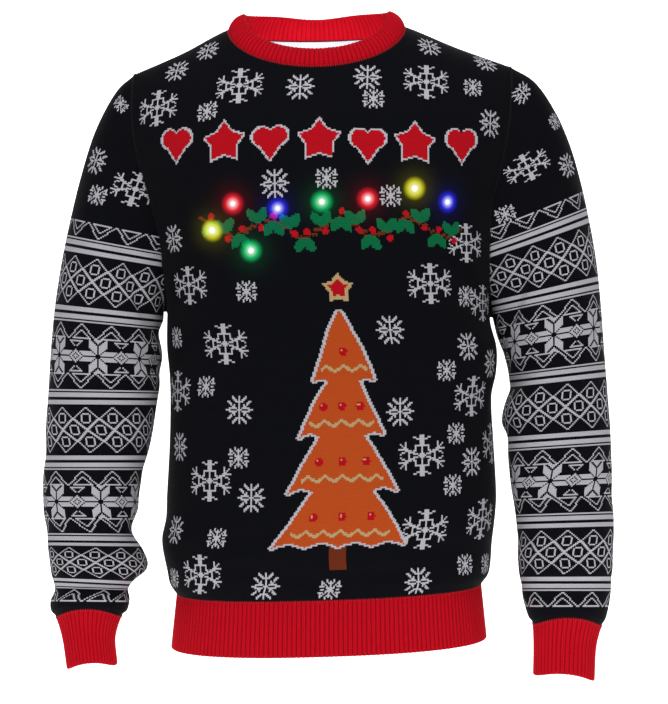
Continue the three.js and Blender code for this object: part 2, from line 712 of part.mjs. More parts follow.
function collar(front, back) {
  const chain = [];
  const outs = [];
  const ups = [];
  const from = GRID.shoulder;
  const to = front.lastColumn - GRID.shoulder;
  for (let i = from; i <= to; i += 1) {
    chain.push(front.points[front.lastRow][i]);
    outs.push(front.outs[front.lastRow][i]);
    ups.push(i === from || i === to ? mitre(neckUp(front, i), neckUp(back, i)) : neckUp(front, i));
  }
  for (let i = to - 1; i > from; i -= 1) {
    chain.push(back.points[back.lastRow][i]);
    outs.push(back.outs[back.lastRow][i]);
    ups.push(neckUp(back, i));
  }
  const middle = vec((NECK.right + NECK.left) / 2, COLLAR.middle, 0);
  const rise = [];
  const lift = [];
  chain.forEach((point) => {
    const inward = vec(middle.x - point.x, middle.y - point.y, 0).normalize();
    const turn = Math.atan2(Math.abs(inward.x), inward.y);
    const lean = radians(COLLAR.mean + COLLAR.turn * Math.cos(turn) + COLLAR.double * Math.cos(2 * turn));
    rise.push(inward.multiplyScalar(Math.sin(lean)).add(vec(0, 0, Math.cos(lean))));
    const corner = inward.y < 0 ? COLLAR.lift * Math.sin(2 * turn) ** 2 : 0;
    lift.push(COLLAR.taller * Math.cos(turn) + corner);
  });
  const seam = chain.map((point, i) => moved(point, ups[i], SEAM));
  const top = chain.map((point, i) => moved(point, rise[i], COLLAR.height + lift[i]));
  const topOuts = top.map((point, i) => {
    const before = top[(i + top.length - 1) % top.length];
    const along = top[(i + 1) % top.length].clone().sub(before);
    const out = along.cross(rise[i]).normalize();
    return out.dot(vec(point.x - middle.x, point.y - middle.y, 0)) < 0 ? out.negate() : out;
  });
  const between = seam.map((point, i) => (
    moved(point.clone().lerp(top[i], 0.5), topOuts[i], COLLAR.bulge)
  ));
  const rows = [{ points: seam, outs }, { points: between, outs: topOuts }, { points: top, outs: topOuts }];
  return ribbed('collar_rib', RED_RIB, rows, RIBS.collar, true);
}

// Hem rib: a front and a back half between the side seams

function hemRib(grid, name) {
  const half = SEAM / 2;
  const outs = grid.outs[0].map((out) => out.clone().setZ(0).normalize());
  const ends = [0, grid.lastColumn];
  const clear = (point, i) => {
    if (ends.includes(i)) point.y += grid.sign * half;
    return point;
  };
  const seam = grid.points[0].map((point, i) => clear(moved(point, vec(0, 0, -1), half), i));
  const bottom = grid.points[0].map((point, i) => (
    clear(moved(moved(point, outs[i], HEM.flare), vec(0, 0, -1), HEM.height), i)
  ));
  return ribbed(name, RED_RIB, [{ points: seam, outs }, { points: bottom, outs }], RIBS.hem, false);
}

// Cuff: a tube of rib from the end of the sleeve

function cuff(grid, side, name) {
  const around = grid.points[0].length;
  const last = grid.points.length - 1;
  const rows = CUFF_STATIONS.map((at, k) => {
    if (k === 0) {
      const points = grid.points[last].map((point) => moved(point, vec(0, 0, -1), SEAM / 2));
      return { points, outs: grid.outs[last] };
    }
    const points = grid.points[last].map((point, i) => sleevePoint(side, at, (2 * Math.PI * i) / around));
    const middle = points.reduce((sum, point) => sum.add(point), vec(0, 0, 0)).divideScalar(around);
    const outs = points.map((point, i) => {
      const along = points[(i + 1) % around].clone().sub(points[(i + around - 1) % around]).setZ(0);
      const out = along.cross(vec(0, 0, 1)).normalize();
      return out.dot(point.clone().sub(middle).setZ(0)) < 0 ? out.negate() : out;
    });
    return { points, outs };
  });
  return ribbed(name, RED_RIB, rows, RIBS.cuff, true);
}

// Tape inside the back neck, just below the collar seam

function neckTape(back) {
  const { lastRow, lastColumn } = back;
  const lines = [
    { row: lastRow - 2, share: TAPE.low },
    { row: lastRow - 1, share: 0 },
    { row: lastRow - 1, share: TAPE.high },
  ];
  const points = [];
  const outs = [];
  lines.forEach(({ row, share }) => {
    const between = (grid, i) => grid[row][i].clone().lerp(grid[Math.min(row + 1, lastRow)][i], share);
    const line = [];
    const out = [];
    for (let i = GRID.shoulder + 2; i < lastColumn - GRID.shoulder - 1; i += 1) {
      const normal = between(back.outs, i);
      line.push(moved(between(back.points, i), normal, -(WALL + 2 * SEAM)));
      out.push(normal);
    }
    points.push(line);
    outs.push(out);
  });
  return wall('neck_tape', WHITE_TAPE, { points, outs }, TAPE.wall, false);
}

// A small lamp: a dome on the front, its flat foot just clear of the knit

function lamp(row, panel) {
  const ray = new THREE.Raycaster(vec(row.x, -LAMP.from, row.z), vec(0, 1, 0));
  const [hit] = ray.intersectObject(panel);
  const profile = [new THREE.Vector2(0, 0), new THREE.Vector2(LAMP.radius, 0)];
  for (let k = 1; k <= LAMP.up; k += 1) {
    const rise = ((Math.PI / 2) * k) / LAMP.up;
    const radius = k === LAMP.up ? 0 : LAMP.radius * Math.cos(rise);
    profile.push(new THREE.Vector2(radius, LAMP.height * Math.sin(rise)));
  }
  const geometry = new THREE.LatheGeometry(profile, LAMP.around);
  const look = { color: row.color, emissive: row.color, roughness: 0.3, metalness: 0 };
  const mesh = new THREE.Mesh(geometry, new THREE.MeshStandardMaterial(look));
  mesh.name = row.name;
  mesh.quaternion.setFromUnitVectors(vec(0, 1, 0), hit.face.normal);
  mesh.position.copy(moved(hit.point, hit.face.normal, SEAM));
  return mesh;
}

// The whole jumper

const front = bodyGrid('front');
const back = bodyGrid('back');
const rightSleeve = sleeveGrid('right');
const leftSleeve = sleeveGrid('left');

const group = new THREE.Group();
const frontPanel = wall('front_panel', KNIT, seamedBody(front, 'front'), WALL, false);
group.add(frontPanel);
group.add(wall('back_panel', KNIT, seamedBody(back, 'back'), WALL, false));
group.add(wall('sleeve_right', KNIT, seamedSleeve(rightSleeve, 'right'), WALL, true));
group.add(wall('sleeve_left', KNIT, seamedSleeve(leftSleeve, 'left'), WALL, true));
group.add(collar(front, back));
group.add(hemRib(front, 'hem_rib_front'));
group.add(hemRib(back, 'hem_rib_back'));
group.add(cuff(rightSleeve, 'right', 'cuff_right'));
group.add(cuff(leftSleeve, 'left', 'cuff_left'));
group.add(neckTape(back));
LAMPS.forEach((row) => group.add(lamp(row, frontPanel)));

export default group;
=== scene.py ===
import math

import bpy
import numpy as np
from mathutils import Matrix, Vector
from mathutils.kdtree import KDTree


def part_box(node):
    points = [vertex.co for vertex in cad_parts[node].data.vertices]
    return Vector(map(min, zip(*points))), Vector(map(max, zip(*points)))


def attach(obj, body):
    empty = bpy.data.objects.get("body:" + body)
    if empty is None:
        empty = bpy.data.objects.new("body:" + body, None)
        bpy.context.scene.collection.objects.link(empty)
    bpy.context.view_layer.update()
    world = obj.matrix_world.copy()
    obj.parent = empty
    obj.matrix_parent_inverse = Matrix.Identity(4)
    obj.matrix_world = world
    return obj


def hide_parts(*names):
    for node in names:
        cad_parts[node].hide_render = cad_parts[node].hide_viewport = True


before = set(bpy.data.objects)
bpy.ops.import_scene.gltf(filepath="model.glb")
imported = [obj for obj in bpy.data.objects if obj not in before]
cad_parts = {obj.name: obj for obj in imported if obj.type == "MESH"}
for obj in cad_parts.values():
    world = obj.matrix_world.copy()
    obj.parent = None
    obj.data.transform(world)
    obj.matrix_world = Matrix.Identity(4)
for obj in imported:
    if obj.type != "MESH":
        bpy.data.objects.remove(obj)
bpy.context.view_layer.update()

# Front and back panels
# Two pieces of fine jersey in near-black wool, with the snowflakes and pictures knitted in from a chart.
# They are linked to each other at the sides and shoulders, and stand rounded out here as when worn.

MM = 0.001
WALL = 2.5
STITCH = 1.8
COURSE = 1.75
INSIDE_STITCHES = 4

BODY_POWER = 2.4
ROUND_HEIGHT = 150
ROUND_POWER = 2.2
REACH = 54
LIP = 3
LIP_FADE = 45
SIDES = {
    "right": {"sign": -1, "tip": -44, "underarm": -301, "hem": -608.5},
    "left": {"sign": 1, "tip": -36, "underarm": -307, "hem": -597.5},
}
NECK = {"right": -100.8, "left": 89.4, "front_drop": 47.2, "back_drop": 6.8}
CUT = {"most": 0.9, "below": 2}
CALM = {"edge": 0.12, "hem": -612, "above": 20, "shoulder": 60}
FALL = {"slope": 0.9, "low": -0.2, "span": 1.2}
NET = {"neck": 98, "shoulder": 28, "below": 90, "armhole": 90, "across": 33}
# Search for a stitch's place on the net: rounds, firmness at first, longest step and how near counts as found
SEARCH = {"rounds": 24, "hold": 1e-3, "easier": 4, "firmer": 6, "step": 3, "near": 0.01}


def table(names, *rows):
    """A short table as one array for each named column."""
    return dict(zip(names.split(), np.array(rows, dtype=float).T))


# Edges seen from the front and depths, by height. Above the underarms the edges are the armholes.
BODY = table(
    "z right left front back",
    (-612, -155.5, 165, 111, 102),
    (-598, -165.5, 173, 117, 108),
    (-585, -168.5, 182, 121, 112),
    (-550, -174.5, 185.5, 126, 116),
    (-525, -170, 188.5, 125, 115),
    (-500, -169, 190, 124, 114),
    (-445, -166, 187, 121, 110),
    (-393, -165, 184.5, 122, 109),
    (-367, -166, 189.5, 124.5, 110.5),
    (-340, -168.5, 190, 127, 112),
    (-315, -168.5, 183.5, 129, 113.5),
    (-290, -168, 181, 131, 115),
    (-250, -171, 180, 133, 118),
    (-215, -175, 180, 134, 121),
    (-188, -182, 181, 134, 122),
    (-145, -194, 191, 131, 124),
    (-105, -202, 199, 124, 122),
    (-70, -204, 203, 116, 116),
    (-36, -203, 205, 109, 109),
    (25, -203, 205, 104, 104),
)
SHOULDER = table(
    "x z",
    (-206, -45.3),
    (-150, -21),
    (-100.8, 4.4),
    (-50, 18),
    (-5, 22),
    (40, 19.5),
    (89.4, 7.6),
    (145, -15),
    (208, -37.2),
)

# Folds, troughs below zero: place, turn from level, length, width and depth
BODY_FOLDS = {
    "front": (
        (-135, -262, 50, 60, 13, -7),
        (-118, -330, 24, 55, 15, -6),
        (140, -255, 128, 55, 13, -6),
        (132, -335, 158, 60, 15, -6),
        (-95, -545, 12, 62, 12, -6),
        (-60, -575, -6, 70, 9, -4),
        (108, -548, 170, 62, 13, -6),
        (70, -573, 5, 60, 9, -4),
        (-75, -430, 82, 95, 22, -5),
        (85, -440, 96, 100, 24, -5),
    ),
    "back": (
        (-110, -300, 40, 70, 17, -7),
        (115, -305, 140, 70, 17, -7),
        (0, -440, 3, 110, 16, -7),
        (-40, -495, -9, 100, 15, -6),
        (50, -548, 8, 95, 13, -5),
        (5, -150, 90, 80, 24, -5),
    ),
}


def curve(rows, key, at, column):
    """A smooth curve through one column of a table, held level past both ends."""
    xs, ys = rows[key], rows[column]
    at = np.clip(np.asarray(at, dtype=float), xs[0], xs[-1])
    i = np.clip(np.searchsorted(xs, at, side="right") - 1, 0, len(xs) - 2)
    place = np.arange(len(xs))
    before, after = np.maximum(place - 1, 0), np.minimum(place + 1, len(xs) - 1)
    slopes = (ys[after] - ys[before]) / (xs[after] - xs[before])
    span = xs[i + 1] - xs[i]
    t = (at - xs[i]) / span
    rise = ys[i + 1] - ys[i]
    start, end = slopes[i] * span, slopes[i + 1] * span
    return ys[i] + t * (start + t * (3 * rise - 2 * start - end + t * (start + end - 2 * rise)))


def smooth(value):
    t = np.clip(value, 0, 1)
    return t * t * (3 - 2 * t)


def mix(a, b, t):
    return a + (b - a) * t


def unit(vectors):
    length = np.linalg.norm(vectors, axis=-1, keepdims=True)
    return vectors / np.maximum(length, 1e-9)


def shoulder_height(x):
    return curve(SHOULDER, "x", x, "z")


def armhole_angle(name, z):
    side = SIDES[name]
    half = (side["tip"] - side["underarm"]) / 2
    return np.arccos(np.clip((side["underarm"] + half - z) / half, -1, 1))


def edge(name, z):
    """The side seam or armhole of a panel seen from the front, with the lip that turns out under the arm."""
    side = SIDES[name]
    z = np.asarray(z, dtype=float)
    above = LIP * (1 - smooth((z - side["underarm"]) / LIP_FADE))
    below = np.maximum(z - side["underarm"] + LIP, 0)
    turned = LIP - np.sqrt(np.maximum(LIP * LIP - below * below, 0))
    return curve(BODY, "z", z, name) + side["sign"] * np.where(z >= side["underarm"], above, turned)


def rounding(x, z):
    below = np.clip((shoulder_height(x) - z) / ROUND_HEIGHT, 0, 1)
    return (1 - (1 - below) ** ROUND_POWER) ** (1 / ROUND_POWER)


def cut_share(name, face, z):
    """How far across its section the body has turned where the armhole cuts it."""
    side = SIDES[name]
    level = np.minimum(z, side["tip"] - CUT["below"])
    reach = REACH * np.sin(armhole_angle(name, level))
    depth = curve(BODY, "z", level, face) * rounding(edge(name, level), level)
    share = np.minimum(reach / depth, CUT["most"])
    return np.where(z <= side["underarm"], 1, (1 - share ** BODY_POWER) ** (1 / BODY_POWER))


def fold_depth(folds, x, z):
    total = np.zeros(np.shape(x))
    for fold_x, fold_z, turn, length, width, depth in folds:
        c, s = math.cos(math.radians(turn)), math.sin(math.radians(turn))
        along = ((x - fold_x) * c + (z - fold_z) * s) / length
        across = ((z - fold_z) * c - (x - fold_x) * s) / width
        total += depth * np.exp(-along * along - across * across)
    return total


def section(face, across, z):
    """Width and depth of the plain body at a place across, -1 to 1, and a height."""
    x = mix(curve(BODY, "z", z, "right"), curve(BODY, "z", z, "left"), (across + 1) / 2)
    share = np.where(across < 0, cut_share("right", face, z), cut_share("left", face, z))
    turned = np.abs(across) * share
    round_section = np.maximum(1 - turned ** BODY_POWER, 0) ** (1 / BODY_POWER)
    return x, curve(BODY, "z", z, face) * round_section * rounding(x, z)


def body_point(face, across, z):
    x, depth = section(face, across, z)
    calm = smooth((1 - np.abs(across)) / CALM["edge"]) * smooth((z - CALM["hem"]) / CALM["above"])
    calm = calm * smooth((shoulder_height(x) - z) / CALM["shoulder"])
    depth = depth + fold_depth(BODY_FOLDS[face], x, z) * calm
    return np.stack([x, -depth if face == "front" else depth, z], -1)


def armhole_point(name, angle):
    """The armhole: angle 0 is the shoulder tip, a quarter turn the front, half a turn the underarm."""
    side = SIDES[name]
    z = mix(side["underarm"], side["tip"], (1 + np.cos(angle)) / 2)
    return np.stack([edge(name, z), -REACH * np.sin(angle), z], -1)


def armhole_out(name, angle):
    """The way out of the cloth along the armhole."""
    sign, step = SIDES[name]["sign"], 0.01
    way = unit(armhole_point(name, angle + step) - armhole_point(name, angle - step))
    fall = FALL["slope"] * smooth((np.cos(angle) - FALL["low"]) / FALL["span"])
    over = np.stack([np.full_like(fall, sign), 0 * fall, -fall], -1)
    return unit(np.cross(over, way) * -sign)


def top_height(face, x):
    half = (NECK["left"] - NECK["right"]) / 2
    share = np.clip((x - NECK["right"] - half) / half, -1, 1)
    level = mix(shoulder_height(NECK["right"]), shoulder_height(NECK["left"]), (share + 1) / 2)
    in_neck = level - NECK[face + "_drop"] * np.sqrt(1 - share * share)
    return np.where((x <= NECK["right"]) | (x >= NECK["left"]), shoulder_height(x), in_neck)


def ways_out(points, sign):
    """The way out of the cloth at each point of a net, from its neighbours."""
    return unit(np.cross(np.gradient(points, axis=1), np.gradient(points, axis=0)) * sign)


def panel_net(face):
    """A panel's outer face as rows from hem to shoulder, with mm of cloth across and up at each point."""
    turn = np.linspace(math.pi, 0, NET["armhole"] + 1)
    shares = {}
    for name, side in SIDES.items():
        rows = np.concatenate([
            np.linspace(side["hem"], side["underarm"] - 3 * LIP, NET["below"] + 1),
            side["underarm"] - LIP * np.array([2, 1, 0.7, 0.4, 0.2, 0.05]),
            mix(side["underarm"], side["tip"], (1 + np.cos(turn)) / 2),
        ])
        shares[name] = ((rows - side["hem"]) / (side["tip"] - side["hem"]))[:, None]
    under_row = len(rows) - len(turn)
    neck_turn = np.linspace(0, math.pi, NET["neck"] + 1)
    neck_middle, neck_half = (NECK["right"] + NECK["left"]) / 2, (NECK["left"] - NECK["right"]) / 2
    tops = np.concatenate([
        np.linspace(edge("right", SIDES["right"]["tip"]), NECK["right"], NET["shoulder"] + 1)[:-1],
        neck_middle - neck_half * np.cos(neck_turn),
        np.linspace(NECK["left"], edge("left", SIDES["left"]["tip"]), NET["shoulder"] + 1)[1:],
    ])
    low = np.sin(math.pi / 2 * np.linspace(-1, 1, len(tops)))
    top = top_height(face, tops)
    middle = (edge("right", top) + edge("left", top)) / 2
    high = np.clip((tops - middle) / (edge("left", top) - middle), -1, 1)
    under = shares["right"][under_row]
    rise = np.clip((shares["right"] - under) / (1 - under), 0, 1)
    across = mix(low, high, rise)
    part = (across + 1) / 2
    share = mix(shares["right"], shares["left"], part)
    z = mix(mix(SIDES["right"]["hem"], SIDES["left"]["hem"], part), top, share)
    points = body_point(face, across, z)
    points[-1, :, 0] = tops
    points[-1, (tops < NECK["right"]) | (tops > NECK["left"]), 1] = 0
    for name, i in (("right", 0), ("left", -1)):
        seam_z = z[:under_row, i]
        points[:under_row, i] = np.stack([edge(name, seam_z), 0 * seam_z, seam_z], -1)
        loop = armhole_point(name, turn)
        loop[:, 1] *= 1 if face == "front" else -1
        points[under_row:, i] = loop
    outs = ways_out(points, 1 if face == "front" else -1)
    for name, i in (("right", 0), ("left", -1)):
        seam_z = z[:under_row, i]
        slope = (edge(name, seam_z + 0.1) - edge(name, seam_z - 0.1)) / 0.2
        sideways = np.stack([np.ones_like(slope), 0 * slope, -slope], -1)
        outs[:under_row, i] = unit(sideways * SIDES[name]["sign"])
        loop = armhole_out(name, turn)
        loop[:, 1] *= 1 if face == "front" else -1
        outs[under_row:, i] = loop
    outs[0, :, 2] = 0
    outs[0] = unit(outs[0])
    on_shoulder = np.r_[1:NET["shoulder"] + 1, len(tops) - NET["shoulder"] - 1:len(tops) - 1]
    slope = (shoulder_height(tops[on_shoulder] + 1) - shoulder_height(tops[on_shoulder] - 1)) / 2
    outs[-1, on_shoulder] = unit(np.stack([-slope, 0 * slope, np.ones_like(slope)], -1))
    steps = across[..., None] * np.linspace(0, 1, NET["across"])
    width, depth = section(face, steps, np.broadcast_to(z[..., None], steps.shape))
    wale = np.sign(across) * np.hypot(np.diff(width), np.diff(depth)).sum(-1)
    lengths = np.linalg.norm(np.diff(points, axis=0), axis=-1)
    course = np.concatenate([np.zeros((1, len(tops))), np.cumsum(lengths, axis=0)])
    return {"points": points, "outs": outs, "wale": wale, "course": course, "face": face}


def on_net(field, u, v):
    """A value of the net between its points."""
    i = np.clip(u.astype(int), 0, field.shape[1] - 2)
    j = np.clip(v.astype(int), 0, field.shape[0] - 2)
    s, t = u - i, v - j
    if field.ndim == 3:
        s, t = s[..., None], t[..., None]
    return mix(mix(field[j, i], field[j, i + 1], s), mix(field[j + 1, i], field[j + 1, i + 1], s), t)


def locate(net, across, up, round_tube):
    """Where on the net each corner of a stitch falls; corners past an edge go to the nearest point of it."""
    cloth = np.stack([net["wale"], net["course"]], -1)
    rows, columns = net["wale"].shape
    target = np.stack([across.ravel(), up.ravel()], -1).astype(float)
    near = KDTree(rows * columns)
    for k, (x, y) in enumerate(cloth.reshape(-1, 2).tolist()):
        near.insert((x, y, 0), k)
    near.balance()
    start = np.array([near.find((x, y, 0))[1] for x, y in target.tolist()])
    u, v = (start % columns).astype(float), (start // columns).astype(float)
    off = on_net(cloth, u, v) - target
    hold = np.full(u.shape, SEARCH["hold"])
    for _ in range(SEARCH["rounds"]):
        i = np.clip(u.astype(int), 0, columns - 2)
        j = np.clip(v.astype(int), 0, rows - 2)
        s, t = (u - i)[:, None], (v - j)[:, None]
        by_u = mix(cloth[j, i + 1] - cloth[j, i], cloth[j + 1, i + 1] - cloth[j + 1, i], t)
        by_v = mix(cloth[j + 1, i] - cloth[j, i], cloth[j + 1, i + 1] - cloth[j, i + 1], s)
        push_u, push_v = (off * by_u).sum(-1), (off * by_v).sum(-1)
        uu = (by_u ** 2).sum(-1) * (1 + hold) + 1e-9
        vv = (by_v ** 2).sum(-1) * (1 + hold) + 1e-9
        uv = (by_u * by_v).sum(-1)
        turned = np.maximum(uu * vv - uv * uv, 1e-12)
        du, dv = -(push_u * vv - push_v * uv) / turned, -(push_v * uu - push_u * uv) / turned
        past_u = ((u <= 0) & (du < 0)) | ((u >= columns - 1) & (du > 0))
        past_v = ((v <= 0) & (dv < 0)) | ((v >= rows - 1) & (dv > 0))
        du, dv = np.where(past_v, -push_u / uu, du), np.where(past_u, -push_v / vv, dv)
        new_u = np.clip(u + np.clip(du, -SEARCH["step"], SEARCH["step"]), 0, columns - 1)
        new_v = np.clip(v + np.clip(dv, -SEARCH["step"], SEARCH["step"]), 0, rows - 1)
        new_off = on_net(cloth, new_u, new_v) - target
        better = (new_off ** 2).sum(-1) < (off ** 2).sum(-1)
        u, v = np.where(better, new_u, u), np.where(better, new_v, v)
        off = np.where(better[:, None], new_off, off)
        hold = np.where(better, hold / SEARCH["easier"], hold * SEARCH["firmer"])
    inside = (off ** 2).sum(-1) < SEARCH["near"]
    if round_tube:
        for column, at_seam in ((0, u <= 0), (-1, u >= columns - 1)):
            v = np.where(at_seam, np.interp(target[:, 1], net["course"][:, column], np.arange(rows)), v)
    return u.reshape(across.shape), v.reshape(across.shape), inside.reshape(across.shape)


def stitched(net, size, depth, round_tube):
    """The net's cloth in faces of size by size stitches, cut off at its edges, depth below the outside."""
    wide = STITCH * size
    high = net.get("row", COURSE) * size
    first = math.floor(net["wale"].min() / wide), math.floor(net["course"].min() / high)
    last = math.ceil(net["wale"].max() / wide), math.ceil(net["course"].max() / high)
    gi, gj = np.meshgrid(np.arange(first[0], last[0] + 1), np.arange(first[1], last[1] + 1))
    u, v, inside = locate(net, gi * wide, gj * high, round_tube)
    columns = net["wale"].shape[1] - 1
    key = np.round(np.stack([u, v], -1) * 256).astype(np.int64)
    if round_tube:
        key[..., 0] = np.where(key[..., 0] >= columns * 256, 0, key[..., 0])
    flat = key[..., 0].ravel() * 10 ** 7 + key[..., 1].ravel()
    _, chosen, index = np.unique(flat, return_index=True, return_inverse=True)
    index = index.reshape(gi.shape)
    faces, sources = (
        np.stack([grid[:-1, :-1], grid[:-1, 1:], grid[1:, 1:], grid[1:, :-1]], -1).reshape(-1, 4)
        for grid in (index, np.arange(gi.size).reshape(gi.shape))
    )
    cells = np.stack([gi[:-1, :-1], gj[:-1, :-1]], -1).reshape(-1, 2)
    same = np.stack([faces[:, k] == faces[:, (k + 1) % 4] for k in range(4)], -1)
    crossed = (faces[:, 0] == faces[:, 2]) | (faces[:, 1] == faces[:, 3])
    kept = (same.sum(-1) <= 1) & ~crossed & inside.ravel()[sources].any(-1)
    faces, sources, cells, same = faces[kept], sources[kept], cells[kept], same[kept]
    cloth_u, cloth_v = u.ravel(), v.ravel()
    points = on_net(net["points"], cloth_u[chosen], cloth_v[chosen])
    points = points - depth * unit(on_net(net["outs"], cloth_u[chosen], cloth_v[chosen]))
    at_stitch = np.stack([on_net(net["wale"], cloth_u, cloth_v) / STITCH,
                          on_net(net["course"], cloth_u, cloth_v) / net.get("row", COURSE)], -1)
    polygons, uvs = [], []
    for face, source, double in zip(faces.tolist(), sources.tolist(), same.tolist()):
        corner = [k for k in range(4) if not double[k]]
        polygons.append([face[k] for k in corner])
        uvs.append([source[k] for k in corner])
    return {
        "points": points, "polygons": polygons, "cells": cells, "uv_of": uvs, "uv": at_stitch,
        "u": cloth_u[chosen] / columns, "v": cloth_v[chosen] / (net["wale"].shape[0] - 1),
    }


def rims(sheet, round_tube):
    """The open edges of a sheet of faces, each with its place round, rising along it."""
    used = {(a, b) for polygon in sheet["polygons"] for a, b in zip(polygon, polygon[1:] + polygon[:1])}
    following = {a: b for a, b in used if (b, a) not in used}
    found = []
    while following:
        start = next(iter(following))
        loop = [start]
        while following.get(loop[-1], start) != start:
            loop.append(following.pop(loop[-1]))
        following.pop(loop[-1], None)
        u, v = sheet["u"][loop], sheet["v"][loop]
        if round_tube:
            place, turns = (u if v.mean() < 0.5 else 1 - u) % 1, 1
        else:
            nearest = np.stack([v, 1 - u, 1 - v, u]).argmin(0)
            place, turns = np.choose(nearest, [u, 1 + v, 3 - u, 4 - v]) % 4, 4
        shift = int(place.argmin())
        found.append((v.mean(), loop[shift:] + loop[:shift], np.roll(place, -shift), turns))
    return [rim[1:] for rim in sorted(found, key=lambda rim: rim[0])]


def closed_cloth(net, paint, round_tube=False):
    """Outside stitch by stitch, inside in larger faces, and the cut edges between them."""
    outside = stitched(net, 1, 0, round_tube)
    inside = stitched(net, INSIDE_STITCHES, WALL, round_tube)
    shift = len(outside["points"])
    polygons = list(outside["polygons"])
    uvs = [outside["uv"][k] for source in outside["uv_of"] for k in source]
    yarns = paint(outside["cells"][:, 0], outside["cells"][:, 1])
    colours = [yarn for yarn, polygon in zip(yarns.tolist(), polygons) for _ in polygon]
    for polygon, source in zip(inside["polygons"], inside["uv_of"]):
        polygons.append([shift + k for k in reversed(polygon)])
        uvs.extend(inside["uv"][k] for k in reversed(source))
        colours.extend([DARK_YARN] * len(polygon))
    edges = zip(rims(outside, round_tube), rims(inside, round_tube))
    for (outer, outer_place, turns), (inner, inner_place, _) in edges:
        outer_place, inner_place = np.append(outer_place, turns), np.append(inner_place, turns)
        k = m = 0
        while k < len(outer) or m < len(inner):
            a, b = outer[k % len(outer)], shift + inner[m % len(inner)]
            if m >= len(inner) or (k < len(outer) and outer_place[k + 1] <= inner_place[m + 1]):
                k += 1
                polygons.append([outer[k % len(outer)], a, b])
            else:
                m += 1
                polygons.append([b, shift + inner[m % len(inner)], a])
            uvs.extend([np.zeros(2)] * 3)
            colours.extend([DARK_YARN] * 3)
    points = np.concatenate([outside["points"], inside["points"]])
    return points, polygons, np.array(uvs), np.array(colours)


def volume(points, polygons):
    tris = np.array([(p[0], p[k], p[k + 1]) for p in polygons for k in range(1, len(p) - 1)])
    a, b, c = points[tris[:, 0]], points[tris[:, 1]], points[tris[:, 2]]
    return np.einsum("ij,ij->i", a, np.cross(b, c)).sum() / 6


def stood(name, data):
    """A new object in the scene."""
    thing = bpy.data.objects.new(name, data)
    bpy.context.collection.objects.link(thing)
    return thing


def cloth_piece(name, points, polygons, uvs, material, sharp=50):
    """A closed piece as one object at the origin, its faces pointing outwards."""
    if volume(points, polygons) < 0:
        polygons = [polygon[::-1] for polygon in polygons]
        starts = np.cumsum([0] + [len(polygon) for polygon in polygons])
        order = np.concatenate([np.arange(b - 1, a - 1, -1) for a, b in zip(starts[:-1], starts[1:])])
    else:
        order = np.arange(sum(len(polygon) for polygon in polygons))
    mesh = bpy.data.meshes.new(name)
    mesh.from_pydata((points * MM).tolist(), [], polygons)
    layer = mesh.uv_layers.new(name="stitches")
    layer.uv.foreach_set("vector", uvs[order].astype(np.float32).ravel())
    mesh.shade_smooth()
    mesh.set_sharp_from_angle(angle=math.radians(sharp))
    mesh.materials.append(material)
    piece = stood(name, mesh)
    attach(piece, "root")
    return piece, order


def paint_yarn(piece, colours, order, lamps):
    """Each stitch gets the colour of its yarn, and the cloth round a lamp a painted glow: the lamp's light on
    the knit, painted in as light that the cloth gives off.
    """
    yarn = piece.data.color_attributes.new("yarn", "FLOAT_COLOR", "CORNER")
    yarn.data.foreach_set("color", YARNS[colours[order]].astype(np.float32).ravel())
    painted_glow = piece.data.color_attributes.new("painted_glow", "FLOAT_COLOR", "POINT")
    places = np.empty(3 * len(piece.data.vertices))
    piece.data.vertices.foreach_get("co", places)
    places = places.reshape(-1, 3) / MM
    light = np.zeros((len(places), 4))
    light[:, 3] = 1
    # The painted glow stands in for each lamp's light falling on the knit: a halo out to the rim, a faint
    # haze beyond, whiter near the lamp.
    for centre, colour in lamps:
        away = np.linalg.norm(places - centre, axis=1)[:, None]
        halo = PAINTED_GLOW["halo"] * (1 - smooth((away - PAINTED_GLOW["core"]) / (PAINTED_GLOW["rim"] - PAINTED_GLOW["core"])))
        haze = PAINTED_GLOW["haze"] * np.exp(-(away / PAINTED_GLOW["far"]) ** 2)
        white = 1 - smooth(away / PAINTED_GLOW["white"])
        light[:, :3] += (halo + haze) * mix(np.array(colour), 1.0, white)
    painted_glow.data.foreach_set("color", light.astype(np.float32).ravel())


def linear(red, green, blue):
    """A colour as the eye names it, 0 to 255, as light."""
    value = np.array([red, green, blue]) / 255
    return tuple(np.where(value <= 0.04045, value / 12.92, ((value + 0.055) / 1.055) ** 2.4)) + (1.0,)


DARK_YARN, PALE_YARN, RED_YARN, RUST_YARN, TAN_YARN, BROWN_YARN, GREEN_YARN = range(7)
YARNS = np.array([
    linear(13, 14, 19),
    linear(196, 194, 202),
    linear(192, 16, 30),
    linear(198, 82, 32),
    linear(196, 168, 120),
    linear(112, 48, 24),
    linear(12, 112, 68),
])
# The painted glow round a lamp, in mm: strength of the halo, its core and rim, strength and reach of the
# faint haze, and how far out it whitens.
PAINTED_GLOW = {"halo": 0.78, "core": 5.5, "rim": 13.5, "haze": 0.05, "far": 17, "white": 8}
LAMP_LIGHT = {
    "lamp_yellow": (0.86, 0.82, 0.01),
    "lamp_red": (1.0, 0.01, 0.03),
    "lamp_green": (0.0, 0.62, 0.16),
    "lamp_blue": (0.02, 0.02, 0.9),
}
LAMP_SLOTS = ("yellow", "red", "green", "blue", "green", "red", "yellow", "blue")
lamp_places = []
for number, colour in enumerate(LAMP_SLOTS, 1):
    low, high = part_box("led_%d" % number)
    middle = (np.array(low) + np.array(high)) / 2 / MM
    lamp_places.append((middle, LAMP_LIGHT["lamp_" + colour]))

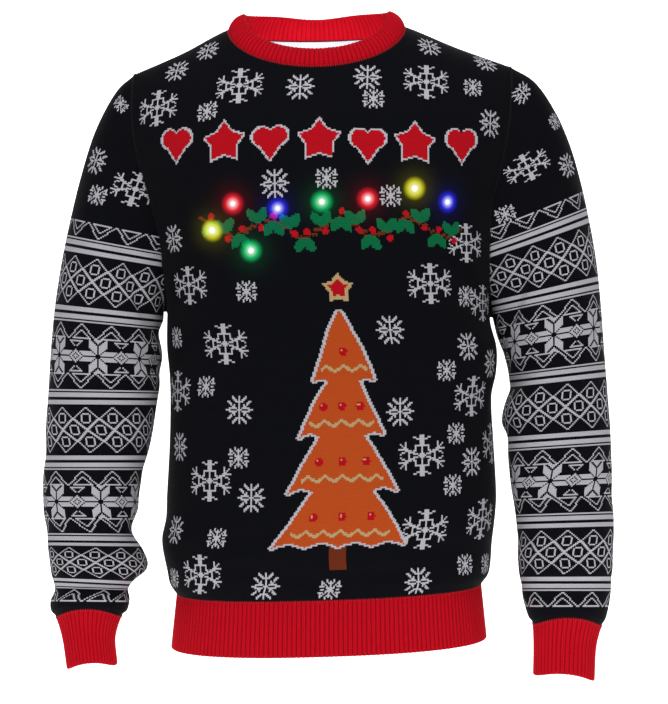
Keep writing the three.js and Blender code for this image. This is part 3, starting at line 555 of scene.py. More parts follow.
# A quarter of each snowflake, stitch by stitch, from its middle stitch at the bottom left
FLAKES = {
    "large": (
        "##.............",
        "##..##.........",
        "####...........",
        "##.............",
        "##........#....",
        "##........#..#.",
        "#####.....#.#..",
        "#...#.....##...",
        "#...#....######",
        "#...##.####....",
        "#....####..##..",
        "##.###..#....#.",
        "###.....#......",
    ),
    "medium": (
        "#...#....",
        "#..##....",
        "#.##.....",
        "###...##.",
        "#....##..",
        "#..#.#...",
        "#..##....",
        "#.#####..",
        "##....###",
    ),
    "small": (
        "..#....",
        "#.#..#.",
        "##..##.",
        "#..#.#.",
        "#.#.###",
        "###....",
        "##..##.",
    ),
}
# Snowflakes on the front: x and z of their middles
FRONT_FLAKES = {
    "large": ((-174, -83), (-88, -62), (111, -59), (-140, -271), (113, -271), (-100, -332), (-155, -385),
              (159, -390), (107, -449), (-120, -479), (108, -528), (-128, -580), (152, -227), (172, -290),
              (183, -443), (171, -523)),
    "medium": ((-155, -43), (-22, -64), (113, -18), (176, -33), (47, -52), (179, -99), (-50, -163),
               (-157, -222), (72, -316), (155, -336), (181, -356), (-89, -402), (82, -405), (-154, -443),
               (160, -460), (-74, -496), (-157, -533), (102, -584), (-61, -587), (-122, -20)),
    "small": ((-119, -88), (55, -75), (162, -63), (5, -160), (69, -176), (-78, -276), (152, -283),
              (-155, -329), (130, -362), (-123, -379), (144, -428), (-88, -453), (137, -482), (-112, -538),
              (153, -569), (176, -572), (-159, -586), (10, -592)),
}


def snowflake(chart, place, kind):
    """A snowflake in pale yarn round the stitch at a place."""
    middle_column = int(place[0] // 1) + chart["across"]
    middle_row = int(place[1] // 1) - chart["low"]
    for up, line in enumerate(reversed(FLAKES[kind])):
        for out, stitch in enumerate(line):
            if stitch == "#":
                for row in (middle_row - up, middle_row + up):
                    for column in (middle_column - out, middle_column + out):
                        if 0 <= row < chart["yarn"].shape[0] and 0 <= column < chart["yarn"].shape[1]:
                            chart["yarn"][row, column] = PALE_YARN


def stamp(chart, shape, place, yarn, *sizes):
    """Marks a shape in the chart round a place given in stitches and courses."""
    rows, columns = chart["rows"], chart["columns"]
    dx = (columns - place[0]) * STITCH
    dz = (rows - place[1]) * COURSE
    chart["yarn"][shape(dx, dz, *sizes)] = yarn


def blank_chart(net):
    across = math.ceil(np.abs(net["wale"]).max() / STITCH) + 2
    low = math.floor(net["course"].min() / net.get("row", COURSE)) - 2
    high = math.ceil(net["course"].max() / net.get("row", COURSE)) + 2
    columns, rows = np.meshgrid(np.arange(-across, across + 1), np.arange(low, high + 1))
    return {"columns": columns + 0.5, "rows": rows + 0.5, "yarn": np.full(rows.shape, DARK_YARN),
            "across": across, "low": low}


def chart_painter(chart):
    def paint(column, row):
        return chart["yarn"][row - chart["low"], column + chart["across"]]
    return paint


# Added to the distance of places on the far side, so that a chart is laid on the near one
FAR_SIDE = 1000


def chart_place(net, x, z):
    """Stitch and course of the net's cloth at a place seen from the front, or the back for the back panel."""
    away = np.hypot(net["points"][..., 0] - x, net["points"][..., 2] - z)
    if net["face"] != "back":
        away += np.where(net["points"][..., 1] > 0, FAR_SIDE, 0)
    found = np.unravel_index(away.argmin(), away.shape)
    return net["wale"][found] / STITCH, net["course"][found] / net.get("row", COURSE)


# How far the sides of a five-pointed star draw in between its points
STAR_WAIST = 1.37


def five_star(dx, dz, radius):
    turn = np.abs((np.arctan2(dx, dz) + math.pi / 5) % (2 * math.pi / 5) - math.pi / 5)
    distance = np.hypot(dx, dz)
    return distance * (np.cos(turn) + STAR_WAIST * np.sin(turn)) < radius


def heart(dx, dz, radius):
    x, z = dx / radius, dz / radius + 0.12
    lobes = np.hypot(np.abs(x) - 0.42, z - 0.3) < 0.52
    point = (z < 0.36) & (z > -1.0) & (np.abs(x) < 0.92 * (z + 1.0) / 1.3)
    return lobes | point


def disc(dx, dz, radius):
    return np.hypot(dx, dz) < radius


def fir_tiers(dx, dz):
    """Stacked skirts of a fir tree whose foot is at zero, from the widest up."""
    mask = np.zeros(dx.shape, dtype=bool)
    for tier in range(TREE["tiers"]):
        base, share = skirt(tier)
        tall = TREE["height"] * (1.6 - 0.1 * tier) / (TREE["tiers"] + 0.6)
        wide = TREE["half"] * share
        rise = (dz - base) / tall
        scallop = 0.05 * np.abs(np.sin(dx / wide * math.pi * 2))
        mask |= (rise > scallop) & (rise < 1) & (np.abs(dx) < wide * np.clip(1 - rise, 0, 1) ** 0.8)
    return mask


def icing(dx, dz, level, half, step):
    """A zigzag line of icing across the tree."""
    wave = np.abs((dx / step) % 2 - 1) * step * 0.7
    return (np.abs(dz - level - wave) < 1.9) & (np.abs(dx) < half)


def leaf(dx, dz, length, turn):
    c, s = math.cos(turn), math.sin(turn)
    along, off = dx * c + dz * s, np.abs(dz * c - dx * s)
    t = np.clip(along / length, 0, 1)
    return (along > 0) & (along < length) & (off < 5.2 * np.sin(math.pi * t) ** 0.7)


ROW_OF_MOTIFS = (-153, -103, -53, -3, 47, 97, 147)
MOTIF = {"z": -121, "star": 22, "heart": 19, "outline": 3}
TREE = {"x": 16, "foot": -546, "height": 266, "half": 70, "tiers": 4, "trunk": (9, 24), "taper": 0.72}
# Icing above each skirt's hem and in from its sides, and the baubles above the icing
ICING = {"up": 11, "in": 9, "share": 0.86, "step": 9}
BAUBLE = {"up": 21, "share": 0.5, "radius": 4.6, "glint": 1.4, "aside": 0.8}
CROWN = {"up": 6, "radius": 17, "inner": 11}
TWIG = {"from": -128, "to": 146, "level": -211, "wave": 9, "length": 74, "half": 1.9}
LEAVES = {"from": 9, "spacing": 17, "pair": ((19, 0.95), (17, 2.1))}
BERRY = {"aside": 2, "up": 3.4, "radius": 3.6}


def twig_place(net, x):
    return chart_place(net, x, TWIG["level"] + TWIG["wave"] * math.sin(2 * math.pi * x / TWIG["length"]))


def skirt(tier):
    """Height of a skirt's hem above the tree's foot, and how wide it is beside the lowest."""
    tiers = TREE["tiers"]
    return TREE["height"] * tier / (tiers + 0.6), 1 - TREE["taper"] * tier / tiers


def front_chart(net):
    """Snowflakes all over, a row of stars and hearts, a leafy twig and a fir tree."""
    chart = blank_chart(net)
    for kind, places in FRONT_FLAKES.items():
        for x, z in places:
            snowflake(chart, chart_place(net, x, z), kind)
    for number, x in enumerate(ROW_OF_MOTIFS):
        place = chart_place(net, x, MOTIF["z"])
        shape, size = (five_star, MOTIF["star"]) if number % 2 else (heart, MOTIF["heart"])
        stamp(chart, shape, place, PALE_YARN, size + MOTIF["outline"])
        stamp(chart, shape, place, RED_YARN, size)
    for x in np.arange(TWIG["from"], TWIG["to"], 0.8):
        stamp(chart, disc, twig_place(net, x), BROWN_YARN, TWIG["half"])
    for number, x in enumerate(np.arange(TWIG["from"] + LEAVES["from"], TWIG["to"], LEAVES["spacing"])):
        place = twig_place(net, x)
        up = 1 if number % 2 else -1
        for length, turn in LEAVES["pair"]:
            stamp(chart, leaf, place, GREEN_YARN, length, up * turn)
        berry = place[0] + BERRY["aside"], place[1] - up * BERRY["up"]
        stamp(chart, disc, berry, RED_YARN, BERRY["radius"])
    foot = chart_place(net, TREE["x"], TREE["foot"])
    trunk_half, trunk_tall = TREE["trunk"]
    stamp(chart, lambda dx, dz: (np.abs(dx) < trunk_half) & (dz > -trunk_tall) & (dz < 8), foot, BROWN_YARN)
    stamp(chart, fir_tiers, foot, RUST_YARN)
    tree = chart["yarn"] == RUST_YARN
    outline = tree.copy()
    for rows, columns in ((0, 2), (0, 1), (1, 0), (1, 1), (1, -1)):
        for way in (1, -1):
            outline |= np.roll(tree, (rows * way, columns * way), (0, 1))
    chart["yarn"][outline & ~tree] = PALE_YARN
    for tier in range(TREE["tiers"]):
        level, share = skirt(tier)
        level += ICING["up"]
        wide = (TREE["half"] - ICING["in"]) * share
        stamp(chart, icing, foot, TAN_YARN, level, wide * ICING["share"], ICING["step"])
        for side in (-1, 0, 1) if tier < TREE["tiers"] - 1 else (0,):
            x = foot[0] + side * wide * BAUBLE["share"] / STITCH
            z = foot[1] + (level + BAUBLE["up"]) / COURSE
            stamp(chart, disc, (x, z), RED_YARN, BAUBLE["radius"])
            stamp(chart, disc, (x - BAUBLE["aside"], z + BAUBLE["aside"]), TAN_YARN, BAUBLE["glint"])
    crown = (foot[0], foot[1] + (TREE["height"] + CROWN["up"]) / COURSE)
    stamp(chart, five_star, crown, TAN_YARN, CROWN["radius"])
    stamp(chart, five_star, crown, RED_YARN, CROWN["inner"])
    return chart


BACK_FLAKES = {"kinds": ("large", "small", "medium", "small", "large", "medium"), "rows": 11, "columns": 4,
               "across": 55, "stagger": 27, "low": -584, "up": 53, "edge": 172, "top": -30, "slope": 0.12}


def back_chart(net):
    """Snowflakes in staggered rows, of changing size, each a little off its row and column."""
    chart = blank_chart(net)
    grid, number = BACK_FLAKES, 0
    for row in range(grid["rows"]):
        for column in range(-grid["columns"], grid["columns"] + 1):
            x = grid["across"] * column + grid["stagger"] * (row % 2) + 3 * math.sin(2.4 * row + 1.7 * column)
            z = grid["low"] + grid["up"] * row + 4 * math.cos(1.9 * column + 2.1 * row)
            if abs(x) < grid["edge"] and z < grid["top"] - grid["slope"] * abs(x):
                snowflake(chart, chart_place(net, x, z), grid["kinds"][number % len(grid["kinds"])])
                number += 1
    return chart


def knot(tree, kind, **values):
    """One node with its settings."""
    node = tree.nodes.new(kind)
    for name, value in values.items():
        setattr(node, name, value)
    return node


def feed(tree, node, values):
    """Gives a node's inputs their values, or the sockets that they come from."""
    for key, value in values.items():
        if isinstance(value, bpy.types.NodeSocket):
            tree.links.new(value, node.inputs[key])
        else:
            node.inputs[key].default_value = value
    return node


def sums(tree, operation, *values):
    """One sum on numbers or sockets."""
    return feed(tree, knot(tree, "ShaderNodeMath", operation=operation), dict(enumerate(values))).outputs[0]


def blend(tree, factor, a, b, kind="MIX"):
    """Two colours mixed."""
    node = knot(tree, "ShaderNodeMix", data_type="RGBA", blend_type=kind)
    return feed(tree, node, {"Factor": factor, "A": a, "B": b}).outputs["Result"]


def dressed(name, values):
    """A new material with its node tree and its shader, whose inputs have these values."""
    material = bpy.data.materials.new(name)
    material.use_nodes = True
    tree = material.node_tree
    return material, tree, feed(tree, tree.nodes["Principled BSDF"], values)


# A stitch's legs: their slant in courses, how round they are each way, and their shade from the groove up
LEGS = {"slant": 0.55, "rung": 0.6, "side": 0.5, "dark": 0.62, "light": 0.5}


def stitch_group():
    """Knitted stitches from a UV map that counts stitches and courses: two legs that meet in a V."""
    tree = bpy.data.node_groups.new("knitted stitches", "ShaderNodeTree")
    tree.interface.new_socket("Stitches", in_out="INPUT", socket_type="NodeSocketVector")
    for label in ("Height", "Shade", "Groove"):
        tree.interface.new_socket(label, in_out="OUTPUT", socket_type="NodeSocketFloat")
    start, end = knot(tree, "NodeGroupInput"), knot(tree, "NodeGroupOutput")
    parts = feed(tree, knot(tree, "ShaderNodeSeparateXYZ"), {0: start.outputs["Stitches"]})
    in_stitch = sums(tree, "FRACT", parts.outputs["X"])
    off = sums(tree, "MULTIPLY", sums(tree, "ABSOLUTE", sums(tree, "SUBTRACT", in_stitch, 0.5)), 2.0)
    slanted = sums(tree, "SUBTRACT", parts.outputs["Y"], sums(tree, "MULTIPLY", off, LEGS["slant"]))
    rung = sums(tree, "SINE", sums(tree, "MULTIPLY", sums(tree, "FRACT", slanted), math.pi))
    side = sums(tree, "SUBTRACT", sums(tree, "MULTIPLY", off, 2.0), 1.0)
    leg = sums(tree, "SUBTRACT", 1.0, sums(tree, "MULTIPLY", side, side))
    rounded = sums(tree, "POWER", sums(tree, "MAXIMUM", leg, 0.0), LEGS["side"])
    height = sums(tree, "MULTIPLY", sums(tree, "POWER", rung, LEGS["rung"]), rounded)
    # Shade is painted shade: the colour is darkened in the gaps between the legs and lightened on their tops.
    shade = sums(tree, "ADD", LEGS["dark"], sums(tree, "MULTIPLY", height, LEGS["light"]))
    feed(tree, end, {"Height": height, "Shade": shade, "Groove": sums(tree, "MULTIPLY", off, off)})
    return tree


stitches = stitch_group()


def wool(name, colour, with_painted_glow=False, relief=0.35, fuzz=0.22, groove=0.0):
    """Knitted wool: matt, slightly hairy, its colour from the yarn attribute or one dye, with painted shade
    between the stitches and, where asked, in the rib grooves.
    """
    surface = {"Roughness": 0.92, "Specular IOR Level": 0.06, "Sheen Weight": 0.02, "Sheen Roughness": 0.35}
    material, tree, shader = dressed(name, surface)
    uv = knot(tree, "ShaderNodeUVMap", uv_map="stitches").outputs[0]
    knit = feed(tree, knot(tree, "ShaderNodeGroup", node_tree=stitches), {"Stitches": uv})
    noise = feed(tree, knot(tree, "ShaderNodeTexNoise"), {"Scale": 0.9, "Detail": 3, "Vector": uv})
    uneven = sums(tree, "ADD", 1 - fuzz / 2, sums(tree, "MULTIPLY", noise.outputs[0], fuzz))
    # The colour is multiplied by painted shade, darker between the legs of each stitch and, for ribs, in the
    # grooves, and by a random unevenness of the yarn's tone.
    groove_shade = sums(tree, "SUBTRACT", 1.0, sums(tree, "MULTIPLY", knit.outputs["Groove"], groove))
    shade_and_tone = sums(tree, "MULTIPLY", sums(tree, "MULTIPLY", knit.outputs["Shade"], uneven), groove_shade)
    if colour is None:
        colour = knot(tree, "ShaderNodeVertexColor", layer_name="yarn").outputs["Color"]
    bump = feed(tree, knot(tree, "ShaderNodeBump"),
                {"Strength": 0.6, "Distance": relief * MM, "Height": knit.outputs["Height"]})
    feed(tree, shader, {"Base Color": blend(tree, 1, colour, shade_and_tone, "MULTIPLY"), "Normal": bump.outputs[0]})
    # The cloth gives off the painted glow itself, in place of the lamps' light falling on the knit.
    if with_painted_glow:
        painted_glow = knot(tree, "ShaderNodeVertexColor", layer_name="painted_glow")
        feed(tree, shader, {"Emission Color": painted_glow.outputs["Color"], "Emission Strength": 1.0})
    return material


dark_knit = wool("dark knit", None, with_painted_glow=True)
nets = {face: panel_net(face) for face in ("front", "back")}
for face, chart in (("front", front_chart(nets["front"])), ("back", back_chart(nets["back"]))):
    points, polygons, uvs, colours = closed_cloth(nets[face], chart_painter(chart))
    panel, order = cloth_piece(face + "_knit", points, polygons, uvs, dark_knit)
    paint_yarn(panel, colours, order, lamp_places if face == "front" else [])
    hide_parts(face + "_panel")

# Sleeves
# Two tubes of the same jersey, knitted in bands of stars, diamonds and zigzags between pale stripes,
# with a seam under the arm. Each is linked into its armhole and bunches over the cuff.

SLEEVE_POWER = 2.2
ARMHOLE_FADE = 3
CUFF_AT = 18
SLEEVE_CALM = {"from": 1, "over": 2, "cuff": 1}
SLEEVE_NET = {"rings": 150, "half": 80}
# Outer and inner edges seen from the front, by station from the armhole, 0, to the cuff's end, 20
SLEEVES = {
    "right": table(
        "at outX outZ inX inZ",
        (0, -203, -44, -171.5, -300),
        (1, -223.5, -63, -172.5, -301.8),
        (2, -245.5, -104, -172.8, -305.2),
        (3, -261, -152, -173.4, -311.7),
        (4, -273, -200, -176.2, -318.5),
        (5, -283.5, -251, -178, -327),
        (6, -290.5, -298, -174.5, -346),
        (7, -294.5, -343, -174.5, -369),
        (8, -297, -389, -179.5, -400),
        (9, -300, -432, -184.5, -434),
        (10, -302, -477, -192, -472),
        (11, -301, -515, -198, -511),
        (12, -297, -543, -206, -537),
        (13, -295, -560, -193, -559),
        (14, -292, -581, -189, -578),
        (15, -288, -598, -208, -598),
        (16, -292.5, -611, -207.5, -611),
        (17, -291.5, -622, -210, -622),
        (18, -286, -629, -216, -628),
        (19, -279, -651, -223, -651),
        (20, -274, -683, -221, -679),
    ),
    "left": table(
        "at outX outZ inX inZ",
        (0, 205, -36, 185, -306.8),
        (1, 231.5, -52.5, 186.4, -309),
        (2, 253.5, -84.5, 187.5, -313.9),
        (3, 269.5, -121, 189.1, -320.5),
        (4, 281, -160, 191, -328),
        (5, 289.5, -198, 194.5, -338),
        (6, 297, -239, 199, -351),
        (7, 302, -284, 203.5, -371),
        (8, 306, -339, 200.5, -395),
        (9, 310, -393, 195, -423),
        (10, 313, -440, 200.5, -449),
        (11, 314, -480, 204, -485),
        (12, 315, -515, 209, -517),
        (13, 315, -541, 211, -542),
        (14, 314, -573, 212, -573),
        (15, 311.5, -602, 215.5, -602),
        (16, 309, -618, 219, -618),
        (17, 305.5, -631, 223, -630),
        (18, 301, -639, 227.5, -637),
        (19, 295, -661, 228.5, -661),
        (20, 293, -696, 228, -690),
    ),
}
ARM = table(
    "at half forward arch",
    (0, 54, 0, 0),
    (2, 62, 0, 0),
    (4, 69, 0, 0),
    (6, 72, 2, 0),
    (8, 66, 10, 0),
    (10, 58, 21, 0),
    (12, 52, 32, 0),
    (13, 54, 35, 0),
    (14, 52, 38, 1),
    (15, 44, 41, 4),
    (16, 45, 43, 8),
    (17, 43.5, 44, 11),
    (18, 39, 45, 12),
    (19, 33, 48, 10),
    (20, 34, 50, 8),
)
# Folds: station, angle round from the outer edge over the front, slant, length, width and depth
SLEEVE_FOLDS = {
    "right": (
        (3.4, 118, -38, 60, 14, -6),
        (6.6, 150, -16, 52, 14, -6),
        (9.2, 60, 12, 60, 14, -5),
        (10.4, 128, -10, 58, 13, -6),
        (12.1, 90, -8, 62, 10, -5),
        (9.8, 250, 8, 70, 15, -6),
        (14.9, 110, 6, 60, 7, -4),
    ),
    "left": (
        (3.6, 122, -36, 60, 14, -6),
        (7.4, 152, -14, 56, 14, -6),
        (9.1, 120, -8, 62, 13, -6),
        (11.2, 80, 10, 60, 13, -5),
        (13.4, 100, 5, 60, 11, -5),
        (9.9, 246, -8, 70, 15, -6),
        (14.6, 96, -4, 60, 7, -4),
    ),
}
# Courses down from the middle of the first stripes, and their heights at the outer and the inner edge,
# as seen from a place straight in front
SEEN = {"from": 2900, "x": 5, "z": -233}
COURSE_PAST_ENDS = 1.7
COURSE_LINES = {
    "right": table(
        "course outer inner",
        (-124, -42, -58),
        (-100, -66, -92),
        (-60, -127, -150),
        (-30, -178, -200),
        (0, -228, -247),
        (43, -300, -312),
        (100, -396, -397),
        (143, -465, -465),
        (200, -553, -554),
        (243, -597, -601),
        (256, -612, -613),
        (268, -632, -632),
    ),
    "left": table(
        "course outer inner",
        (-124, -28, -62),
        (-100, -56, -96),
        (-60, -107, -152),
        (-30, -150, -193),
        (0, -198, -238),
        (43, -270, -296),
        (100, -366, -378),
        (143, -437, -445),
        (200, -530, -533),
        (243, -598, -598),
        (256, -618, -618),
        (270, -642, -642),
    ),
}


def sleeve_point(name, at, angle):
    """A sleeve's outer face: angle 0 is its outer edge, a quarter turn its front."""
    rows = SLEEVES[name]
    outer = np.stack([curve(rows, "at", at, "outX"), curve(rows, "at", at, "outZ")], -1)
    inner = np.stack([curve(rows, "at", at, "inX"), curve(rows, "at", at, "inZ")], -1)
    power = 2 / mix(2, SLEEVE_POWER, smooth(at / ARMHOLE_FADE))
    cos, sin = np.cos(angle), np.sin(angle)
    lengthwise = (1 + np.sign(cos) * np.abs(cos) ** power) / 2
    flat = mix(inner, outer, lengthwise[..., None])
    y = -curve(ARM, "at", at, "forward") - curve(ARM, "at", at, "half") * np.sign(sin) * np.abs(sin) ** power
    z = flat[..., 1] + curve(ARM, "at", at, "arch") * sin ** 2
    loop = armhole_point(name, angle)
    ends = [armhole_point(name, np.array(turn)) for turn in (math.pi, 0.0)]
    chord = mix(*ends, ((1 + cos) / 2)[..., None])
    x = flat[..., 0] + (1 - smooth(at / ARMHOLE_FADE)) * (loop[..., 0] - chord[..., 0])
    point = np.stack([x, y, z], -1)
    return np.where((at <= 0)[..., None], loop, point)


def sleeve_fold(name, at, angle):
    rows = SLEEVES[name]
    ring = curve(ARM, "at", at, "half")
    middle = lambda station: (curve(rows, "at", station, "outZ") + curve(rows, "at", station, "inZ")) / 2
    total = np.zeros(np.shape(at))
    for station, turned, slant, length, width, depth in SLEEVE_FOLDS[name]:
        swing = (angle - math.radians(turned) + math.pi) % (2 * math.pi) - math.pi
        c, s = math.cos(math.radians(slant)), math.sin(math.radians(slant))
        dx, dz = swing * ring, middle(at) - middle(station)
        along, across = (dx * c + dz * s) / length, (dz * c - dx * s) / width
        total += depth * np.exp(-along * along - across * across)
    calm = smooth((at - SLEEVE_CALM["from"]) / SLEEVE_CALM["over"])
    calm = calm * smooth((CUFF_AT - at) / SLEEVE_CALM["cuff"])
    return total * calm


def course_at(name, x, z):
    """Courses down from the first stripes at a place on the sleeve seen from the front."""
    rows, lines, side = SLEEVES[name], COURSE_LINES[name], SIDES[name]
    heights = np.linspace(-700, -20, 341)
    outer_edge = np.interp(heights, rows["outZ"][::-1], rows["outX"][::-1])
    inner_edge = np.where(heights > side["underarm"], edge(name, heights),
                          np.interp(heights, rows["inZ"][::-1], rows["inX"][::-1]))
    outer_x, inner_x = np.interp(z, heights, outer_edge), np.interp(z, heights, inner_edge)
    gap = inner_x - outer_x
    share = np.clip((x - outer_x) / np.where(np.abs(gap) < 8, 8 * -side["sign"], gap), 0, 1)
    courses = np.linspace(lines["course"][0] - 20, lines["course"][-1] + 20, 500)
    ends = {key: np.interp(courses, lines["course"], lines[key]) for key in ("outer", "inner")}
    for key in ends:
        before = np.clip(lines["course"][0] - courses, 0, None)
        after = np.clip(courses - lines["course"][-1], 0, None)
        ends[key] += COURSE_PAST_ENDS * (before - after)
    low, high = np.zeros(z.shape, dtype=int), np.full(z.shape, len(courses) - 1)
    height = lambda k: mix(ends["outer"][k], ends["inner"][k], share)
    while (high - low).max() > 1:
        half = (low + high) // 2
        above = height(half) >= z
        low, high = np.where(above, half, low), np.where(above, high, half)
    start = height(low)
    step = height(low + 1) - start
    return courses[low] + (z - start) / step * (courses[1] - courses[0])


def sleeve_net(name):
    """A sleeve's outer face as rings from cuff to armhole, opened along the seam under the arm."""
    sign = SIDES[name]["sign"]
    stations = CUFF_AT * (1 - np.linspace(0, 1, SLEEVE_NET["rings"] + 1))
    turn = math.pi * np.linspace(-1, 1, 2 * SLEEVE_NET["half"] + 1) * sign
    angle, at = np.meshgrid(turn, stations)
    points = sleeve_point(name, at, angle)
    wrap = np.concatenate([points[:, -2:-1], points, points[:, 1:2]], axis=1)
    outs = ways_out(wrap, 1)[:, 1:-1]
    middle = SLEEVE_NET["half"]
    if outs[len(stations) // 2, middle, 0] * sign < 0:
        outs = -outs
    outs[-1] = armhole_out(name, turn)
    outs[0, :, 2] = 0
    outs[0] = unit(outs[0])
    points = points + outs * sleeve_fold(name, at, angle)[..., None]
    nearer = SEEN["from"] / (SEEN["from"] + points[..., 1])
    course = -course_at(name, SEEN["x"] + (points[..., 0] - SEEN["x"]) * nearer,
                        SEEN["z"] + (points[..., 2] - SEEN["z"]) * nearer)
    course = np.maximum.accumulate(course + 1e-4 * np.arange(len(stations))[:, None], axis=0)
    levels = np.linspace(course.min(), course.max(), 260)
    wale_at = np.full((len(levels), len(turn)), np.nan)
    for k, level in enumerate(levels):
        line = np.array([[np.interp(level, course[:, i], points[:, i, axis]) for axis in range(3)]
                         for i in range(len(turn))])
        steps = np.linalg.norm(np.diff(line, axis=0), axis=1)
        place = np.concatenate([[0], np.cumsum(steps)])
        wale_at[k] = place - place[middle]
    wale = np.empty(course.shape)
    for i in range(len(turn)):
        wale[:, i] = np.interp(course[:, i], levels, wale_at[:, i])
    wale += 1e-3 * np.arange(len(turn))
    return {"points": points, "outs": outs, "wale": wale, "course": course, "row": 1.0, "face": name}


# Bands down the sleeve, in courses from the middle of the first stripes, with diamonds or stars between them
STRIPES = (0, 43, 100, 143, 200, 243)
STRIPE = {"core": 1, "half": 4}
DIAMOND = 8
# Zigzags stand this far from a stripe, above and below in turn, and rise and fall by this in so many stitches
ZIGZAG = {"away": 6, "half": 9, "tall": 10, "triangle": 3}
STAR = {"repeat": 28, "petal": 5.6, "upright": 11.6, "level": 3.6, "tip": 8.6}


def band_chart(net):
    """Stripes, a trellis of diamonds, zigzags and eight-petalled stars; the snowflakes above are added to the
    chart afterwards.
    """
    chart = blank_chart(net)
    wale, course = chart["columns"], -chart["rows"]
    yarn = chart["yarn"]
    for line in STRIPES:
        off = np.abs(course - line)
        yarn[(off < STRIPE["half"]) & (off > STRIPE["core"])] = PALE_YARN
    for start, end in zip(STRIPES[::2], STRIPES[1::2]):
        up = course - (start + end) / 2
        for step in (-1, 0, 1):
            place = (wale + DIAMOND * (step % 2)) % (2 * DIAMOND) - DIAMOND
            rise, out = np.abs(up - step * DIAMOND), np.abs(place)
            trellis = (out + rise > DIAMOND - 1) & (out + rise < DIAMOND)
            ring = ((out > 2) & (out < 3) & (rise < 2.5)) | ((out < 2) & (rise > 2.5) & (rise < 3.5))
            yarn[trellis | ring] = PALE_YARN
    wave = np.abs((wale / ZIGZAG["half"]) % 2 - 1) * ZIGZAG["tall"]
    for number, line in enumerate(STRIPES):
        down = (course - line) * (1 if number % 2 else -1) - ZIGZAG["away"]
        yarn[(down > -1) & (down < 0)] = PALE_YARN
        within = (down > 0.9) & (down < ZIGZAG["tall"] + 0.9)
        inner = down - 1 - wave
        yarn[within & (np.abs(inner) < 0.6)] = PALE_YARN
        edge_stitch = (inner < ZIGZAG["triangle"] + 1.2) | (down > ZIGZAG["tall"] - 0.1)
        yarn[within & (inner > ZIGZAG["triangle"]) & edge_stitch] = PALE_YARN
    for start, end in zip(STRIPES[1::2], STRIPES[2::2]):
        up = np.abs(course - (start + end) / 2)
        half = STAR["repeat"] / 2
        across = np.abs((wale - 0.5 + half) % STAR["repeat"] - half)
        upright = (across > 0.5) & (up - across > 0.5) & (across < STAR["petal"])
        upright &= (up < STAR["petal"] + 1 + across) & (up < STAR["upright"])
        level = (up > 0.5) & (across - up > 0.5) & (up < STAR["level"]) & (across < STAR["tip"] + up)
        notch = (up > STAR["tip"] - 0.1) & (up < STAR["upright"]) & (across < up - STAR["tip"])
        yarn[upright | level | notch] = PALE_YARN
        between = half - across
        diamond = between + up
        yarn[((diamond < 4.6) & (diamond > 2.9)) | (diamond < 1.2)] = PALE_YARN
        yarn[(up > 6) & (up < 10.6) & (np.abs(between - (up - 6)) < 0.9)] = PALE_YARN
        yarn[(up > 9.4) & (up < 10.6) & (between < 5)] = PALE_YARN
    return chart


SLEEVE_FLAKES = {
    "right": (("large", -199, -170), ("medium", -242, -138), ("small", -216, -77), ("small", -242, -176)),
    "left": (("large", 220, -145), ("medium", 215, -66), ("medium", 264, -143), ("small", 251, -96),
             ("small", 197, -194)),
}
sleeve_nets = {}
for name in ("right", "left"):
    net = sleeve_net(name)
    sleeve_nets[name] = net
    chart = band_chart(net)
    for kind, x, z in SLEEVE_FLAKES[name]:
        snowflake(chart, chart_place(net, x, z), kind)
    points, polygons, uvs, colours = closed_cloth(net, chart_painter(chart), round_tube=True)
    sleeve, order = cloth_piece("sleeve_%s_knit" % name, points, polygons, uvs, dark_knit)
    paint_yarn(sleeve, colours, order, [])
    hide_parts("sleeve_" + name)

# Collar
# A band of red one-by-one rib, knitted apart, linked to the neckline and leaning in towards the neck.

RIB_WALL = 3
RIB = {"peak": 0.6, "valley": -0.4, "steps": 6, "inside": 0.5}
COLLAR = {"height": 23.2, "taller": 1.3, "mean": 36.75, "turn": 7.5, "double": -8.25,
          "bulge": 3.4, "lift": 4, "middle": -12}
RIBS = {"collar": 112, "hem": 94, "cuff": 46}
# The rib's colour is darkened in the grooves between the ribs by painted shade.
red_rib = wool("red rib", linear(205, 12, 32), relief=0.4, groove=0.5)


def lengths_along(points):
    return np.concatenate([[0], np.cumsum(np.linalg.norm(np.diff(points, axis=0), axis=1))])


def read_at(wanted, places, points):
    """Points read off a line of points at the wanted places along it."""
    return np.stack([np.interp(wanted, places, points[:, axis]) for axis in range(3)], -1)


